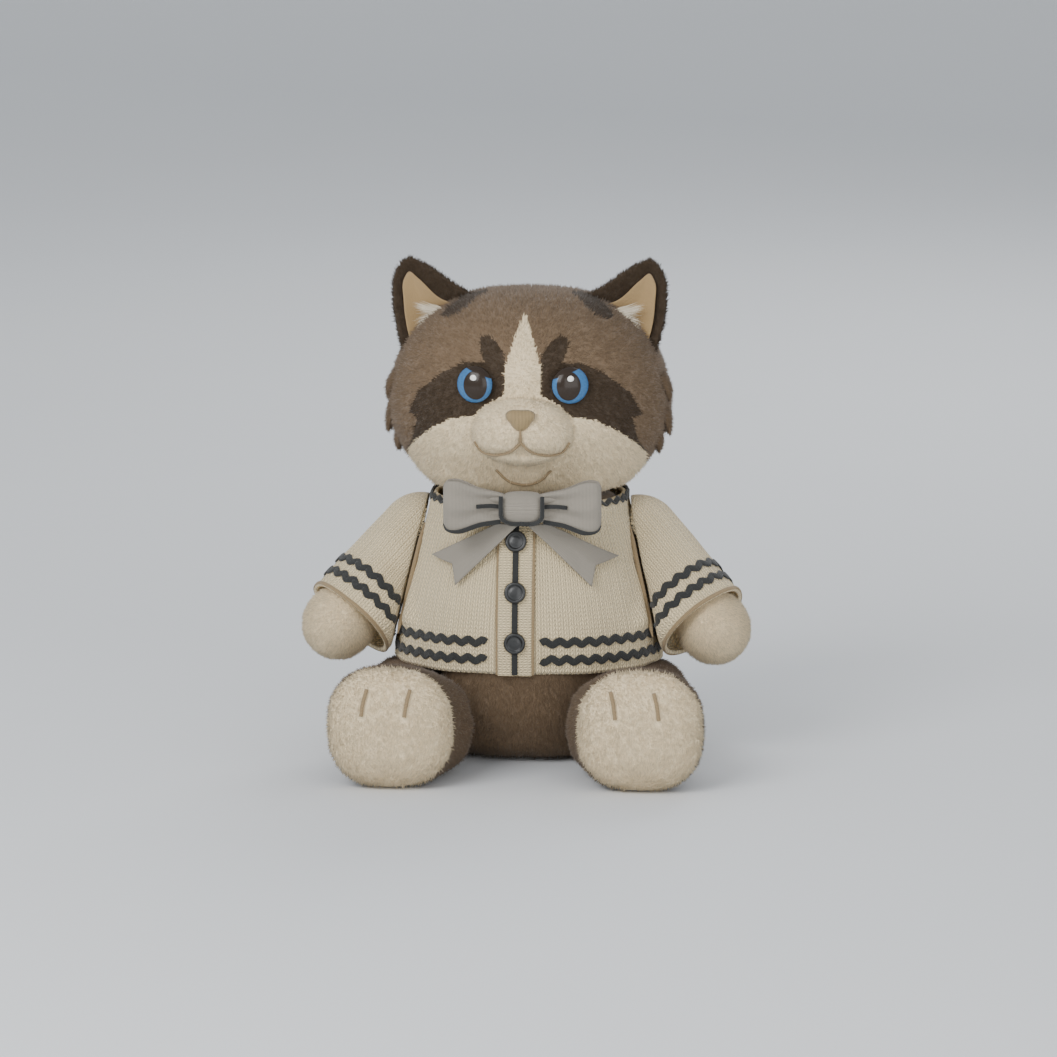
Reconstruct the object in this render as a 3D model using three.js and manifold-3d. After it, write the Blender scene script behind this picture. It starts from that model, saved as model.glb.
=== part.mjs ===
// A sitting plush cat in a knitted cardigan with a bow, built as a jointed soft toy: stuffed covers,
// snap-lock disc joints at the neck, shoulders and hips, and clothes that are separate pieces.
// Millimetres, +Z up. The cat faces -Y, and its left side is +X. The origin is the centre of the flat seat.
import * as THREE from "three";
import { mergeVertices } from "three/addons/utils/BufferGeometryUtils.js";
import Module from "manifold-3d";

const wasm = await Module();
wasm.setup();

// ---- Clearances and cloth ----
const gap = 0.4; // between pieces that touch
const plush = 3; // wall of a plush cover, pile and backing
const knit = 3; // wall of the cardigan's knit
const braid = 1.6; // thickness of the zigzag braid
const band = 2; // thickness of the button band

// ---- Torso ----
const torso = { height: 209, halfWidth: 106, front: 96, back: 78 };
// Height, half-width and depth of each level, as shares of the torso's sizes: a pear with soft shoulders.
const torsoLevels = [
  [0, 0.6, 0.62],
  [0.062, 0.8, 0.8],
  [0.176, 0.93, 0.92],
  [0.351, 1, 0.99],
  [0.486, 0.995, 1],
  [0.63, 0.935, 0.965],
  [0.775, 0.85, 0.88],
  [0.915, 0.75, 0.78],
  [0.975, 0.69, 0.71],
  [1, 0.56, 0.58],
];

// ---- Head ----
const head = { height: 160, halfWidth: 111, front: 88, back: 84 };
const headLevels = [
  [0, 0.54, 0.56],
  [0.03, 0.7, 0.69],
  [0.08, 0.785, 0.77],
  [0.16, 0.865, 0.84],
  [0.26, 0.945, 0.94],
  [0.4, 1, 1],
  [0.57, 0.975, 0.98],
  [0.73, 0.89, 0.9],
  [0.865, 0.735, 0.735],
  [0.96, 0.5, 0.48],
  [1, 0.2, 0.2],
];
const muzzle = { halfWidth: 40, depth: 26, halfHeight: 27, height: 60 };
const muzzleSetBack = 4; // from the front of the head to the middle of the muzzle
const nose = { width: 24, height: 18, depth: 7, above: 12 };
const eye = { radius: 14, dome: 7.5, side: 37, height: 96 };
const eyePost = { radius: 2.2, length: 14, washer: 8, washerDepth: 1.6 };
const ear = { innerEdge: 42, outerEdge: 104, rise: 26, thickness: 14, setBack: -2 };
const earRoot = { inner: 0.865, low: 0.5 }; // as shares of the head's height
const earLining = { thickness: 2.6, rim: 9 };
const cheek = {
  reach: 26,
  top: 69,
  drop: 13,
  proud: 4,
  stepIn: 5,
  notch: 5,
  hook: 2.5,
  depth: 16,
  points: 3,
};

// ---- Arms ----
const shoulderTilt = THREE.MathUtils.degToRad(13); // the sides lean in towards the neck
const shoulderDrop = 37; // below the neck
const shoulderHeight = torso.height - shoulderDrop;
const shoulderRadius = 33;
const cuffRadius = 33.5;
const sleeveLength = 92; // shoulder joint to cuff
const pawRadius = 29;
const pawReach = 101; // shoulder joint to the middle of the paw
const armWay = new THREE.Vector3(63, -45, -66).normalize();
const sleeveFall = { along: 74, reach: 36, radius: 7 }; // loose cloth that hangs against the body
const armholeRadius = 24;
const shoulderInset = 6; // how far the flat beside the arm is let into the side

// ---- Legs ----
const hip = { plane: 62, back: 18, height: 40 }; // joint axis runs along X, at y = -back
const hipEndRadius = 36.5;
const legReach = 192; // seat centre to the tip of the foot
const thigh = { inner: 31, outer: 131, top: 75.5, roundOff: 3, hollow: 14 };
const foot = { inner: 48, outer: 147, top: 97, seam: 33 }; // seam: tip to the edge of the cream foot

// ---- Cardigan, trims and bow ----
const hemHeight = 77.5;
const sideSeamY = 6;
const neckHole = { radius: 59, depth: 20 };
const trimWidth = 9;
const trimPitch = 14;
const hemToTrim = 11.5;
const cuffToTrim = 16;
const collarTrim = { width: 3.4, drop: 4.4 }; // its lower edge is this far below the neck
const buttonBand = { middle: -5, width: 27, drop: 8 };
const cordDrop = 14;
const centreCord = 5;
const button = { radius: 8.6, depth: 4, pitch: 39, lowest: 103 };
const bow = { height: 211, middle: 1, standOff: 14, halfWidth: 62, depth: 16 };
const bowKnot = { width: 36, height: 24, proud: 3, corner: 4, taper: 2 };
const bowLoop = { innerHeight: 24, outerHeight: 41 };
const bowTail = { thickness: 2, standOff: 1 };
// Corners of the tail on the +X side, from the middle of the bow and from the bottom of the knot.
const bowTailRow = [[9, 0], [30, 0]]; // the tail's edge under the knot
const bowTailTip = [[0.698, -31], [0.566, -36], [0.509, -52]]; // across as a share of the torso's half-width

// ---- Joints: a stem disc in the limb, and a snap washer on the stem inside the torso ----
const joint = { disc: 16, discDepth: 2.5, stem: 4, tip: 3, washer: 15, washerDepth: 2.5 };
const jointLock = { radius: 7, depth: 5 };
const stemFit = 0.4; // radial clearance of the stem in the covers and the washer

// ---- Tail and weight ----
const tail = { radius: 15.5, reach: 76, sweep: 64, height: 16 };
const pelletBag = { radius: 39, height: 30 };

const segments = 18; // round a large cover
const roundSegments = 12; // round a disc, stem or washer
const X = new THREE.Vector3(1, 0, 0);
const Y = new THREE.Vector3(0, 1, 0);
const Z = new THREE.Vector3(0, 0, 1);
const FAR = 600;

// ---- Solids ----
function solid(geometry) {
  const positions = new THREE.BufferGeometry();
  const flat = geometry.index ? geometry.toNonIndexed() : geometry;
  positions.setAttribute("position", flat.getAttribute("position"));
  const merged = mergeVertices(positions, 1e-4);
  const mesh = new wasm.Mesh({
    numProp: 3,
    vertProperties: merged.attributes.position.array,
    triVerts: new Uint32Array(merged.index.array),
  });
  return new wasm.Manifold(mesh);
}

function geometryOf(shape) {
  const mesh = shape.getMesh();
  const geometry = new THREE.BufferGeometry();
  const places = new Float32Array(mesh.numVert * 3);
  for (let i = 0; i < mesh.numVert; i++) {
    places.set(mesh.vertProperties.subarray(i * mesh.numProp, i * mesh.numProp + 3), i * 3);
  }
  geometry.setAttribute("position", new THREE.BufferAttribute(places, 3));
  geometry.setIndex(new THREE.BufferAttribute(new Uint32Array(mesh.triVerts), 1));
  return geometry;
}

// The skin through a list of rings with the same number of points, closed by a fan at each end.
function loft(rings) {
  const n = rings[0].length;
  const points = rings.flat();
  const middle = (ring) => ring.reduce((sum, p) => sum.add(p), new THREE.Vector3()).divideScalar(n);
  points.push(middle(rings[0]), middle(rings.at(-1)));
  const [first, last] = [points.length - 2, points.length - 1];
  const index = [];
  for (let i = 0; i < n; i++) {
    const j = (i + 1) % n;
    index.push(first, j, i);
    for (let k = 0; k < rings.length - 1; k++) {
      const [a, b, c, d] = [k * n + i, k * n + j, (k + 1) * n + i, (k + 1) * n + j];
      index.push(a, b, d, a, d, c);
    }
    const top = (rings.length - 1) * n;
    index.push(last, top + i, top + j);
  }
  const geometry = new THREE.BufferGeometry().setFromPoints(points);
  geometry.setIndex(index);
  const shape = solid(geometry);
  if (shape.volume() > 0) return shape;
  const reversed = [];
  for (let i = 0; i < index.length; i += 3) {
    reversed.push(index[i], index[i + 2], index[i + 1]);
  }
  geometry.setIndex(reversed);
  return solid(geometry);
}

const power = (value, exponent) => Math.sign(value) * Math.abs(value) ** exponent;

// A stack of rounded levels. grow moves the whole surface outwards, or inwards where it is negative.
function levelsOf(size, shares, base, grow) {
  const half = size.height / 2;
  const stretch = (half + grow) / half;
  return shares.map(([height, wide, deep]) => ({
    z: base + half + (height * size.height - half) * stretch,
    wide: Math.max(wide * size.halfWidth + grow, 1),
    front: Math.max(deep * size.front + grow, 1),
    back: Math.max(deep * size.back + grow, 1),
  }));
}

const roundness = 2.25; // exponent of the level's superellipse, 2 is an ellipse

function ringOf(level, count) {
  return Array.from({ length: count }, (_, i) => {
    const turn = (2 * Math.PI * i) / count;
    const [c, s] = [power(Math.cos(turn), 2 / roundness), power(Math.sin(turn), 2 / roundness)];
    return new THREE.Vector3(level.wide * c, (s < 0 ? level.front : level.back) * s, level.z);
  });
}

const stack = (levels, count = segments) => loft(levels.map((level) => ringOf(level, count)));
const torsoForm = (grow) => stack(levelsOf(torso, torsoLevels, 0, grow));

const headBase = torso.height + gap;
const headForm = (grow) => stack(levelsOf(head, headLevels, headBase, grow));

// The front of a stack at one place, as a y value.
function frontOf(levels, x, z) {
  const i = Math.min(Math.max(levels.findIndex((level) => level.z >= z), 1), levels.length - 1);
  const [low, high] = [levels[i - 1], levels[i]];
  const share = THREE.MathUtils.clamp((z - low.z) / (high.z - low.z), 0, 1);
  const wide = THREE.MathUtils.lerp(low.wide, high.wide, share);
  const front = THREE.MathUtils.lerp(low.front, high.front, share);
  return -front * (1 - Math.min(Math.abs(x) / wide, 1) ** roundness) ** (1 / roundness);
}

function box(low, high) {
  const size = high.map((value, i) => value - low[i]);
  const middle = high.map((value, i) => (value + low[i]) / 2);
  return solid(new THREE.BoxGeometry(...size).translate(...middle));
}

// A round bar from one distance to another along a direction from a point.
function bar(radius, from, to, point, way, count = roundSegments) {
  const geometry = new THREE.CylinderGeometry(radius, radius, to - from, count);
  geometry.translate(0, (from + to) / 2, 0);
  geometry.applyQuaternion(new THREE.Quaternion().setFromUnitVectors(Y, way));
  return solid(geometry.translate(point.x, point.y, point.z));
}

// Everything on the far side of a plane, as a large block.
function beyond(point, way, distance) {
  const geometry = new THREE.BoxGeometry(2 * FAR, FAR, 2 * FAR).translate(0, FAR / 2 + distance, 0);
  geometry.applyQuaternion(new THREE.Quaternion().setFromUnitVectors(Y, way));
  return solid(geometry.translate(point.x, point.y, point.z));
}

// A profile of [radius, distance] pairs turned round a direction from a point.
function turned(profile, point, way, count = 14) {
  const points = profile.map(([r, s]) => new THREE.Vector2(r, s));
  const geometry = new THREE.LatheGeometry(points, count);
  geometry.applyQuaternion(new THREE.Quaternion().setFromUnitVectors(Y, way));
  const shape = solid(geometry.translate(point.x, point.y, point.z));
  if (shape.volume() < 0) throw new Error("a turned profile runs the wrong way");
  return shape;
}

// A plate with an outline in X and Z that runs from one y to another.
function plate(outline, yFrom, yTo) {
  const settings = { depth: yTo - yFrom, bevelEnabled: false, curveSegments: 6 };
  const geometry = new THREE.ExtrudeGeometry(outline, settings);
  return solid(geometry.rotateX(Math.PI / 2).translate(0, yTo, 0));
}

const outlineOf = (points) => new THREE.Shape(points.map(([x, z]) => new THREE.Vector2(x, z)));

// ---- Scene graph ----
const cat = new THREE.Group();
const colours = {
  brown: 0x82705d,
  dark: 0x4d4036,
  cream: 0xc7bba4,
  tan: 0xa89375,
  black: 0x3a3b39,
  grey: 0x9b978d,
  blue: 0x5f94c4,
  fill: 0xf2f0ea,
  plastic: 0xe4e4e0,
};

function add(parent, name, shape, colour, roughness = 0.95) {
  const material = new THREE.MeshStandardMaterial({ color: colours[colour], roughness, metalness: 0 });
  const mesh = new THREE.Mesh(geometryOf(shape), material);
  mesh.name = name;
  parent.add(mesh);
}

// ---- Joint hardware: way points from the torso into the limb, and 0 is the limb's own face ----
function stemDisc(point, way, throughTorso) {
  const seat = gap + plush + gap;
  const stemEnd = -(throughTorso + gap + joint.washerDepth + jointLock.depth + joint.tip);
  const disc = bar(joint.disc, seat, seat + joint.discDepth, point, way);
  return disc.add(bar(joint.stem, stemEnd, seat + joint.discDepth / 2, point, way));
}

function snapWasher(point, way, throughTorso) {
  const seat = -(throughTorso + gap);
  const end = seat - joint.washerDepth;
  const washer = bar(joint.washer, end, seat, point, way);
  const lock = bar(jointLock.radius, end - jointLock.depth, end + joint.washerDepth / 2, point, way);
  return washer.add(lock).subtract(bar(joint.stem + stemFit, -FAR / 4, FAR / 4, point, way));
}

const stemHole = (point, way) => bar(joint.stem + stemFit, -60, 12, point, way);
const limbHole = (point, way) => bar(joint.stem + stemFit, -12, 30, point, way);
const torsoPocket = (point, way, throughTorso) => {
  const depth = throughTorso + joint.washerDepth + jointLock.depth + joint.tip + 4 * gap;
  return bar(joint.washer + 2 * gap, -depth, 12, point, way);
};
const limbPocket = (point, way) => {
  const depth = plush + joint.discDepth + 4 * gap;
  return bar(joint.disc + 2 * gap, -12, depth, point, way);
};

// ---- Joint places, for the +X side ----
const shoulderWay = new THREE.Vector3(Math.cos(shoulderTilt), 0, Math.sin(shoulderTilt));
const layers = knit + 2 * gap + braid; // cloth between the torso's side and the arm
const shoulderX = torsoWidthAt(shoulderHeight) - shoulderInset;
const shoulder = new THREE.Vector3(shoulderX, 0, shoulderHeight);
const hipWay = X;
const hipPoint = new THREE.Vector3(hip.plane, -hip.back, hip.height);
const neckPoint = new THREE.Vector3(0, 0, torso.height);
const mirror = (shape) => shape.mirror([1, 0, 0]);

function torsoWidthAt(z) {
  const levels = levelsOf(torso, torsoLevels, 0, layers);
  const i = levels.findIndex((level) => level.z >= z);
  const [low, high] = [levels[i - 1], levels[i]];
  return THREE.MathUtils.lerp(low.wide, high.wide, (z - low.z) / (high.z - low.z));
}

const notchClearance = 1.5; // above the thigh

// The torso's solid: shaved flat beside the arms, notched beside the legs, and flat on the seat.
function torsoShape(grow) {
  const inset = layers - grow;
  const notchTop = hemHeight + notchClearance - grow;
  const notch = box(
    [hip.plane + grow, -FAR, -FAR],
    [FAR, hipEndRadius - hip.back + 3 * gap - grow, notchTop],
  );
  const side = beyond(shoulder, shoulderWay, -inset);
  return torsoForm(grow).subtract(notch.add(side)).subtract(mirror(notch.add(side)));
}

// Room that the turning head needs, and what hangs under it keeps out of.
function headSweep() {
  const levels = levelsOf(head, headLevels, headBase, 0);
  const radius = (level) => Math.max(level.wide, level.front, level.back) + 2 * gap;
  const profile = levels.filter((level) => level.z < headBase + head.height / 2);
  const points = profile.map((level) => [radius(level), level.z - 3 * gap]);
  const top = points.at(-1);
  return turned([[0, points[0][1]], ...points, [top[0], FAR], [0, FAR]], new THREE.Vector3(), Z, 40);
}
const headRoom = headSweep();

// ---- Torso: cover, filling and the weighted bag in the seat ----
const mirroredPair = (shape) => shape.add(mirror(shape));
const throughShoulder = layers + plush;
const throughHip = plush;
const throughNeck = plush;
const torsoHoles = mirroredPair(stemHole(shoulder, shoulderWay).add(stemHole(hipPoint, hipWay))).add(
  stemHole(neckPoint, Z),
);
const torsoPockets = mirroredPair(
  torsoPocket(shoulder, shoulderWay, throughShoulder).add(torsoPocket(hipPoint, hipWay, throughHip)),
).add(torsoPocket(neckPoint, Z, throughNeck));

const bagWaist = 0.82; // of the bag's radius, at its flat bottom and round top
function bagForm(grow) {
  const low = plush + gap - grow;
  const high = plush + gap + pelletBag.height + grow;
  const radius = pelletBag.radius + grow;
  const waist = radius * bagWaist;
  const lower = [[0, low], [waist, low], [radius, (low + high) / 2]];
  const upper = [[waist, high - plush], [waist / 2, high], [0, high]];
  return turned([...lower, ...upper], new THREE.Vector3(), Z, 20);
}
const bagFoot = bar(pelletBag.radius * bagWaist + gap, -20, plush + 2 * gap, new THREE.Vector3(), Z);
const bagRecess = bagForm(gap).add(bagFoot);

add(cat, "torso_cover", torsoShape(0).subtract(torsoShape(-plush)).subtract(torsoHoles), "brown");
const torsoFilling = torsoShape(-plush - gap).subtract(torsoPockets).subtract(bagRecess);
add(cat, "torso_stuffing", torsoFilling, "fill");
add(cat, "pellet_bag", bagForm(0), "fill");

// ---- Head: cover, filling, muzzle, nose, eyes and ears ----
const muzzlePoint = new THREE.Vector3(0, muzzleSetBack - head.front, headBase + muzzle.height);
function muzzleForm(grow) {
  const geometry = new THREE.SphereGeometry(1, 16, 10);
  geometry.scale(muzzle.halfWidth + grow, muzzle.depth + grow, muzzle.halfHeight + grow);
  return solid(geometry.translate(muzzlePoint.x, muzzlePoint.y, muzzlePoint.z));
}

const headLevelList = levelsOf(head, headLevels, headBase, 0);
const eyeZ = headBase + eye.height;
const eyePoint = new THREE.Vector3(eye.side, frontOf(headLevelList, eye.side, eyeZ), eyeZ);
const slope = (dx, dz) => frontOf(headLevelList, eye.side + dx, eyeZ + dz) - eyePoint.y;
const eyeWay = new THREE.Vector3(slope(4, 0) / 4, -1, slope(0, 4) / 4).normalize();
const eyeSeat = 1.2; // the flat back of the eye stands off the curved cover
const eyeHollow = 2.8; // and its washer lies clear of the hollow side

function eyeShape() {
  const domePoints = [0, 1, 2, 3].map((i) => {
    const turn = (Math.PI / 2) * (i / 3);
    return [eye.radius * Math.cos(turn), eyeSeat + eye.dome * Math.sin(turn)];
  });
  const { radius, length } = eyePost;
  const post = [[0, -length], [radius, -length], [radius, eyeSeat]];
  const dome = domePoints.slice(0, -1);
  return turned([...post, ...dome, [0, eyeSeat + eye.dome]], eyePoint, eyeWay, 16);
}
const washerSeat = -(plush + eyeHollow);
const washerEnd = washerSeat - eyePost.washerDepth;
const eyeWasher = bar(eyePost.washer, washerEnd, washerSeat, eyePoint, eyeWay).subtract(
  bar(eyePost.radius + gap, -FAR / 4, FAR / 4, eyePoint, eyeWay),
);
const eyeHole = bar(eyePost.radius + gap, -20, 8, eyePoint, eyeWay);
const eyePocket = bar(eyePost.washer + 2 * gap, -(eyePost.length + 2 * gap), 20, eyePoint, eyeWay);

const headCover = headForm(0)
  .subtract(headForm(-plush))
  .subtract(mirroredPair(eyeHole))
  .subtract(limbHole(neckPoint, Z));
const headFilling = headForm(-plush - gap)
  .subtract(mirroredPair(eyePocket))
  .subtract(limbPocket(neckPoint, Z));
const headOutside = headForm(gap);

// Three points of long pile at each cheek, sewn into the side seam of the head.
function cheekTuft() {
  const { reach, top, depth, points } = cheek;
  const inner = head.halfWidth - reach;
  const outline = [[inner, headBase + top]];
  for (let i = 0; i < points; i++) {
    const z = headBase + top - (i + 1) * cheek.drop;
    outline.push([head.halfWidth + cheek.proud - i * cheek.stepIn, z]);
    outline.push([head.halfWidth - cheek.notch - i * cheek.stepIn, z + cheek.hook]);
  }
  outline.push([inner - cheek.stepIn, headBase + top - points * cheek.drop - cheek.hook]);
  return plate(outlineOf(outline), -depth / 2, depth / 2).subtract(headForm(-plush / 2));
}
add(cat, "head_cover", headCover.add(mirroredPair(cheekTuft())), "brown");
add(cat, "head_stuffing", headFilling, "fill");
add(cat, "muzzle_pad", muzzleForm(0).subtract(headOutside), "cream");

function noseShape() {
  const [w, h] = [nose.width / 2, nose.height];
  const outline = new THREE.Shape();
  outline.moveTo(0, -h / 2);
  outline.bezierCurveTo(w * 0.5, -h * 0.4, w, 0, w, h * 0.22);
  outline.bezierCurveTo(w, h * 0.5, w * 0.4, h / 2, 0, h / 2);
  outline.bezierCurveTo(-w * 0.4, h / 2, -w, h * 0.5, -w, h * 0.22);
  outline.bezierCurveTo(-w, 0, -w * 0.5, -h * 0.4, 0, -h / 2);
  const tip = muzzlePoint.y - muzzle.depth;
  const shape = plate(outline, tip - nose.depth / 2, tip + nose.depth);
  const placed = shape.translate([0, 0, muzzlePoint.z + nose.above]);
  return placed.subtract(muzzleForm(gap)).subtract(headOutside);
}
add(cat, "nose", noseShape(), "tan");

function earOutline(inset) {
  const topZ = headBase + head.height + ear.rise - inset;
  const low = headBase + head.height * earRoot.low;
  const inner = ear.innerEdge + inset * 1.6;
  const outer = ear.outerEdge - inset * 0.75;
  const outline = new THREE.Shape();
  outline.moveTo(inner, headBase + head.height * earRoot.inner);
  outline.lineTo(inner + 6, topZ - 38);
  outline.quadraticCurveTo(outer - 28, topZ - 10, outer - 12, topZ - 2);
  outline.quadraticCurveTo(outer + 2, topZ + 2, outer + 3, topZ - 14);
  outline.quadraticCurveTo(outer + 5, topZ - 48, outer - 4, low + 22);
  outline.lineTo(outer - 30, low);
  return outline;
}
const earBack = ear.setBack + ear.thickness / 2;
const earFront = ear.setBack - ear.thickness / 2;
const earShape = plate(earOutline(0), earFront, earBack).subtract(headOutside);
const lining = earLining.thickness;
const liningPlate = plate(earOutline(earLining.rim), earFront - gap - lining, earFront - gap);
const liningShape = liningPlate.subtract(headOutside);

for (const [side, turn] of [["left", (shape) => shape], ["right", mirror]]) {
  add(cat, `ear_${side}`, turn(earShape), "dark");
  add(cat, `ear_lining_${side}`, turn(liningShape), "tan");
  add(cat, `eye_${side}`, turn(eyeShape()), "blue", 0.15);
  add(cat, `eye_washer_${side}`, turn(eyeWasher), "plastic", 0.5);
}
add(cat, "neck_stem_disc", stemDisc(neckPoint, Z, throughNeck), "plastic", 0.5);
add(cat, "neck_snap_washer", snapWasher(neckPoint, Z, throughNeck), "plastic", 0.5);

// ---- Arms ----
// The sleeve's outside: a round shoulder and a slow cone to the cuff.
function sleeveProfile(grow, length) {
  const r = shoulderRadius + grow;
  const end = cuffRadius + grow;
  const dome = [1, 2, 3].map((i) => {
    const turn = (i * Math.PI) / 8;
    return [r * Math.sin(turn), -r * Math.cos(turn)];
  });
  return [[0, -r], ...dome, [r, 0], [(r + end) / 2, length / 2], [end, length], [0, length]];
}
const armSide = beyond(shoulder, shoulderWay, gap);
const armTurned = (profile) => turned(profile, shoulder, armWay);

function armProfile(grow) {
  const inside = sleeveProfile(grow - knit - gap, sleeveLength).slice(0, 6);
  const r = pawRadius + grow;
  const wrist = [[r - 2, pawReach - 12], [r, pawReach]];
  const paw = [[r * 0.87, pawReach + r / 2], [r * 0.5, pawReach + r * 0.87]];
  return [...inside, ...wrist, ...paw, [0, pawReach + r]];
}
const armBoss = bar(armholeRadius, -knit - braid - gap, 4, shoulder, shoulderWay);
const armShape = (grow) => armTurned(armProfile(grow));
const armCover = armShape(0)
  .intersect(armSide)
  .subtract(armShape(-plush).intersect(beyond(shoulder, shoulderWay, gap + plush)))
  .add(armBoss.subtract(beyond(shoulder, shoulderWay, gap + plush / 2)))
  .subtract(limbHole(shoulder, shoulderWay));
const armFilling = armShape(-plush - gap)
  .intersect(beyond(shoulder, shoulderWay, 2 * gap + plush))
  .subtract(limbPocket(shoulder, shoulderWay));
// Loose cloth fills the corner between the arm and the body: the sleeve is the hull of its cone and a ball.
const towardsBody = shoulderWay.clone().addScaledVector(armWay, -shoulderWay.dot(armWay)).normalize();
const fallPoint = shoulder
  .clone()
  .addScaledVector(armWay, sleeveFall.along)
  .addScaledVector(towardsBody, -sleeveFall.reach);
function sleeveForm(grow, length) {
  const ball = new THREE.SphereGeometry(sleeveFall.radius + grow, 10, 8);
  ball.translate(fallPoint.x, fallPoint.y, fallPoint.z);
  return wasm.Manifold.hull([armTurned(sleeveProfile(grow, length)), solid(ball)]);
}
const pastCuff = 1; // the sleeve's hollow runs on past its open end
const sleeve = sleeveForm(0, sleeveLength)
  .subtract(sleeveForm(-knit, sleeveLength + pastCuff))
  .intersect(armSide);

function sleeveTrim(fromCuff) {
  const middle = sleeveLength - fromCuff;
  const slab = bar(FAR / 4, middle - trimWidth / 2, middle + trimWidth / 2, shoulder, armWay);
  const outer = sleeveForm(gap + braid, sleeveLength);
  return outer.subtract(sleeveForm(gap, sleeveLength)).intersect(slab).intersect(armSide);
}

// ---- Legs ----
// Sections across the leg, from behind the hip to the tip of the foot.
const rearOuterStep = [26, 10, 3, 0]; // how far each round section behind the hip is drawn in
const hipFlat = 4; // the round hip starts this far inside the joint's plane
function rearSections(grow) {
  const radius = hipEndRadius + grow;
  return [84, 65, 35, 0].map((degrees, i) => {
    const turn = THREE.MathUtils.degToRad(degrees);
    const half = radius * Math.cos(turn);
    return {
      y: -hip.back + radius * Math.sin(turn),
      inner: hip.plane - hipFlat - grow,
      outer: thigh.outer - thigh.roundOff - rearOuterStep[i] + grow,
      low: hip.height - half,
      high: hip.height + half,
    };
  });
}

function legLevels(grow) {
  const reach = legReach - hip.back;
  const section = (share, inner, outer, low, high) => ({
    y: -hip.back - share * reach,
    inner: inner - grow,
    outer: outer + grow,
    low: low - grow,
    high: high + grow,
  });
  const between = (share) => [
    THREE.MathUtils.lerp(thigh.inner, foot.inner, share),
    THREE.MathUtils.lerp(thigh.outer, foot.outer, share),
  ];
  const rounded = (back, inset, rise) => ({
    ...section(1, foot.inner + inset, foot.outer - inset, rise, foot.top - rise),
    y: -legReach - grow + back,
  });
  return [
    ...rearSections(grow),
    section(0.25, thigh.inner + thigh.hollow, thigh.outer, 0, thigh.top),
    section(0.47, thigh.inner, thigh.outer, 0, thigh.top),
    section(0.64, ...between(0.5), 0, (thigh.top + foot.top) / 2),
    section(0.78, ...between(0.9), 0, foot.top - 3),
    section(0.88, foot.inner, foot.outer, 0, foot.top),
    rounded(9, 9, 7.5),
    rounded(1, 28, 25.5),
  ];
}
const legRoundness = 2.6;
const legSides = segments - 2;

function legForm(grow) {
  const rings = legLevels(grow).map(({ y, inner, outer, low, high }) => {
    const middle = new THREE.Vector3((inner + outer) / 2, y, (low + high) / 2);
    return Array.from({ length: legSides }, (_, i) => {
      const turn = (2 * Math.PI * i) / legSides;
      const x = ((outer - inner) / 2) * power(Math.cos(turn), 2 / legRoundness);
      const z = ((high - low) / 2) * power(Math.sin(turn), 2 / legRoundness);
      return new THREE.Vector3(x, 0, z).add(middle);
    });
  });
  return loft(rings);
}
// The inner thigh bulges in front of the belly, past everything that it meets as the leg swings down.
const bellyFront = torso.front + knit + gap;
const bulgeStart = Math.hypot(bellyFront - hip.back, hemHeight - hip.height) + 2 * gap;
const legCut = (grow) =>
  bar(bulgeStart - grow, -FAR / 2, gap - grow, hipPoint, X, 40)
    .add(box([-FAR, -hip.back, -FAR], [hip.plane + gap - grow, FAR, FAR]))
    .add(box([-FAR, -FAR, -FAR], [gap - grow, FAR, FAR]));
const legShape = (grow) => legForm(grow).subtract(legCut(grow));
const footSeamY = -legReach + foot.seam;
const legShell = legShape(0).subtract(legShape(-plush)).subtract(limbHole(hipPoint, hipWay));
const legCover = legShell.intersect(box([-FAR, footSeamY + gap / 2, -FAR], [FAR, FAR, FAR]));
const footCover = legShell.intersect(box([-FAR, -FAR, -FAR], [FAR, footSeamY - gap / 2, FAR]));
const legFilling = legShape(-plush - gap).subtract(limbPocket(hipPoint, hipWay));
const shoulderStem = stemDisc(shoulder, shoulderWay, throughShoulder);
const shoulderWasher = snapWasher(shoulder, shoulderWay, throughShoulder);
const hipStem = stemDisc(hipPoint, hipWay, throughHip);
const hipWasher = snapWasher(hipPoint, hipWay, throughHip);

for (const [side, turn] of [["left", (shape) => shape], ["right", mirror]]) {
  add(cat, `arm_cover_${side}`, turn(armCover), "cream");
  add(cat, `arm_stuffing_${side}`, turn(armFilling), "fill");
  add(cat, `sleeve_${side}`, turn(sleeve), "cream");
  add(cat, `sleeve_trim_lower_${side}`, turn(sleeveTrim(cuffToTrim)), "black");
  add(cat, `sleeve_trim_upper_${side}`, turn(sleeveTrim(cuffToTrim + trimPitch)), "black");
  add(cat, `shoulder_stem_disc_${side}`, turn(shoulderStem), "plastic", 0.5);
  add(cat, `shoulder_snap_washer_${side}`, turn(shoulderWasher), "plastic", 0.5);
  add(cat, `leg_cover_${side}`, turn(legCover), "brown");
  add(cat, `foot_cover_${side}`, turn(footCover), "cream");
  add(cat, `leg_stuffing_${side}`, turn(legFilling), "fill");
  add(cat, `hip_stem_disc_${side}`, turn(hipStem), "plastic", 0.5);
  add(cat, `hip_snap_washer_${side}`, turn(hipWasher), "plastic", 0.5);
}

// ---- Cardigan ----
const armholes = mirroredPair(bar(armholeRadius + 3 * gap, -40, 20, shoulder, shoulderWay));
// The torso's surface grown by some cloth, shaved where the arm lies against it, down to the hem.
function clothForm(grow) {
  const side = beyond(shoulder, shoulderWay, Math.min(0, grow - layers));
  const aboveHem = box([-FAR, -FAR, hemHeight], [FAR, FAR, FAR]);
  return torsoForm(grow).subtract(mirroredPair(side)).intersect(aboveHem);
}
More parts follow.
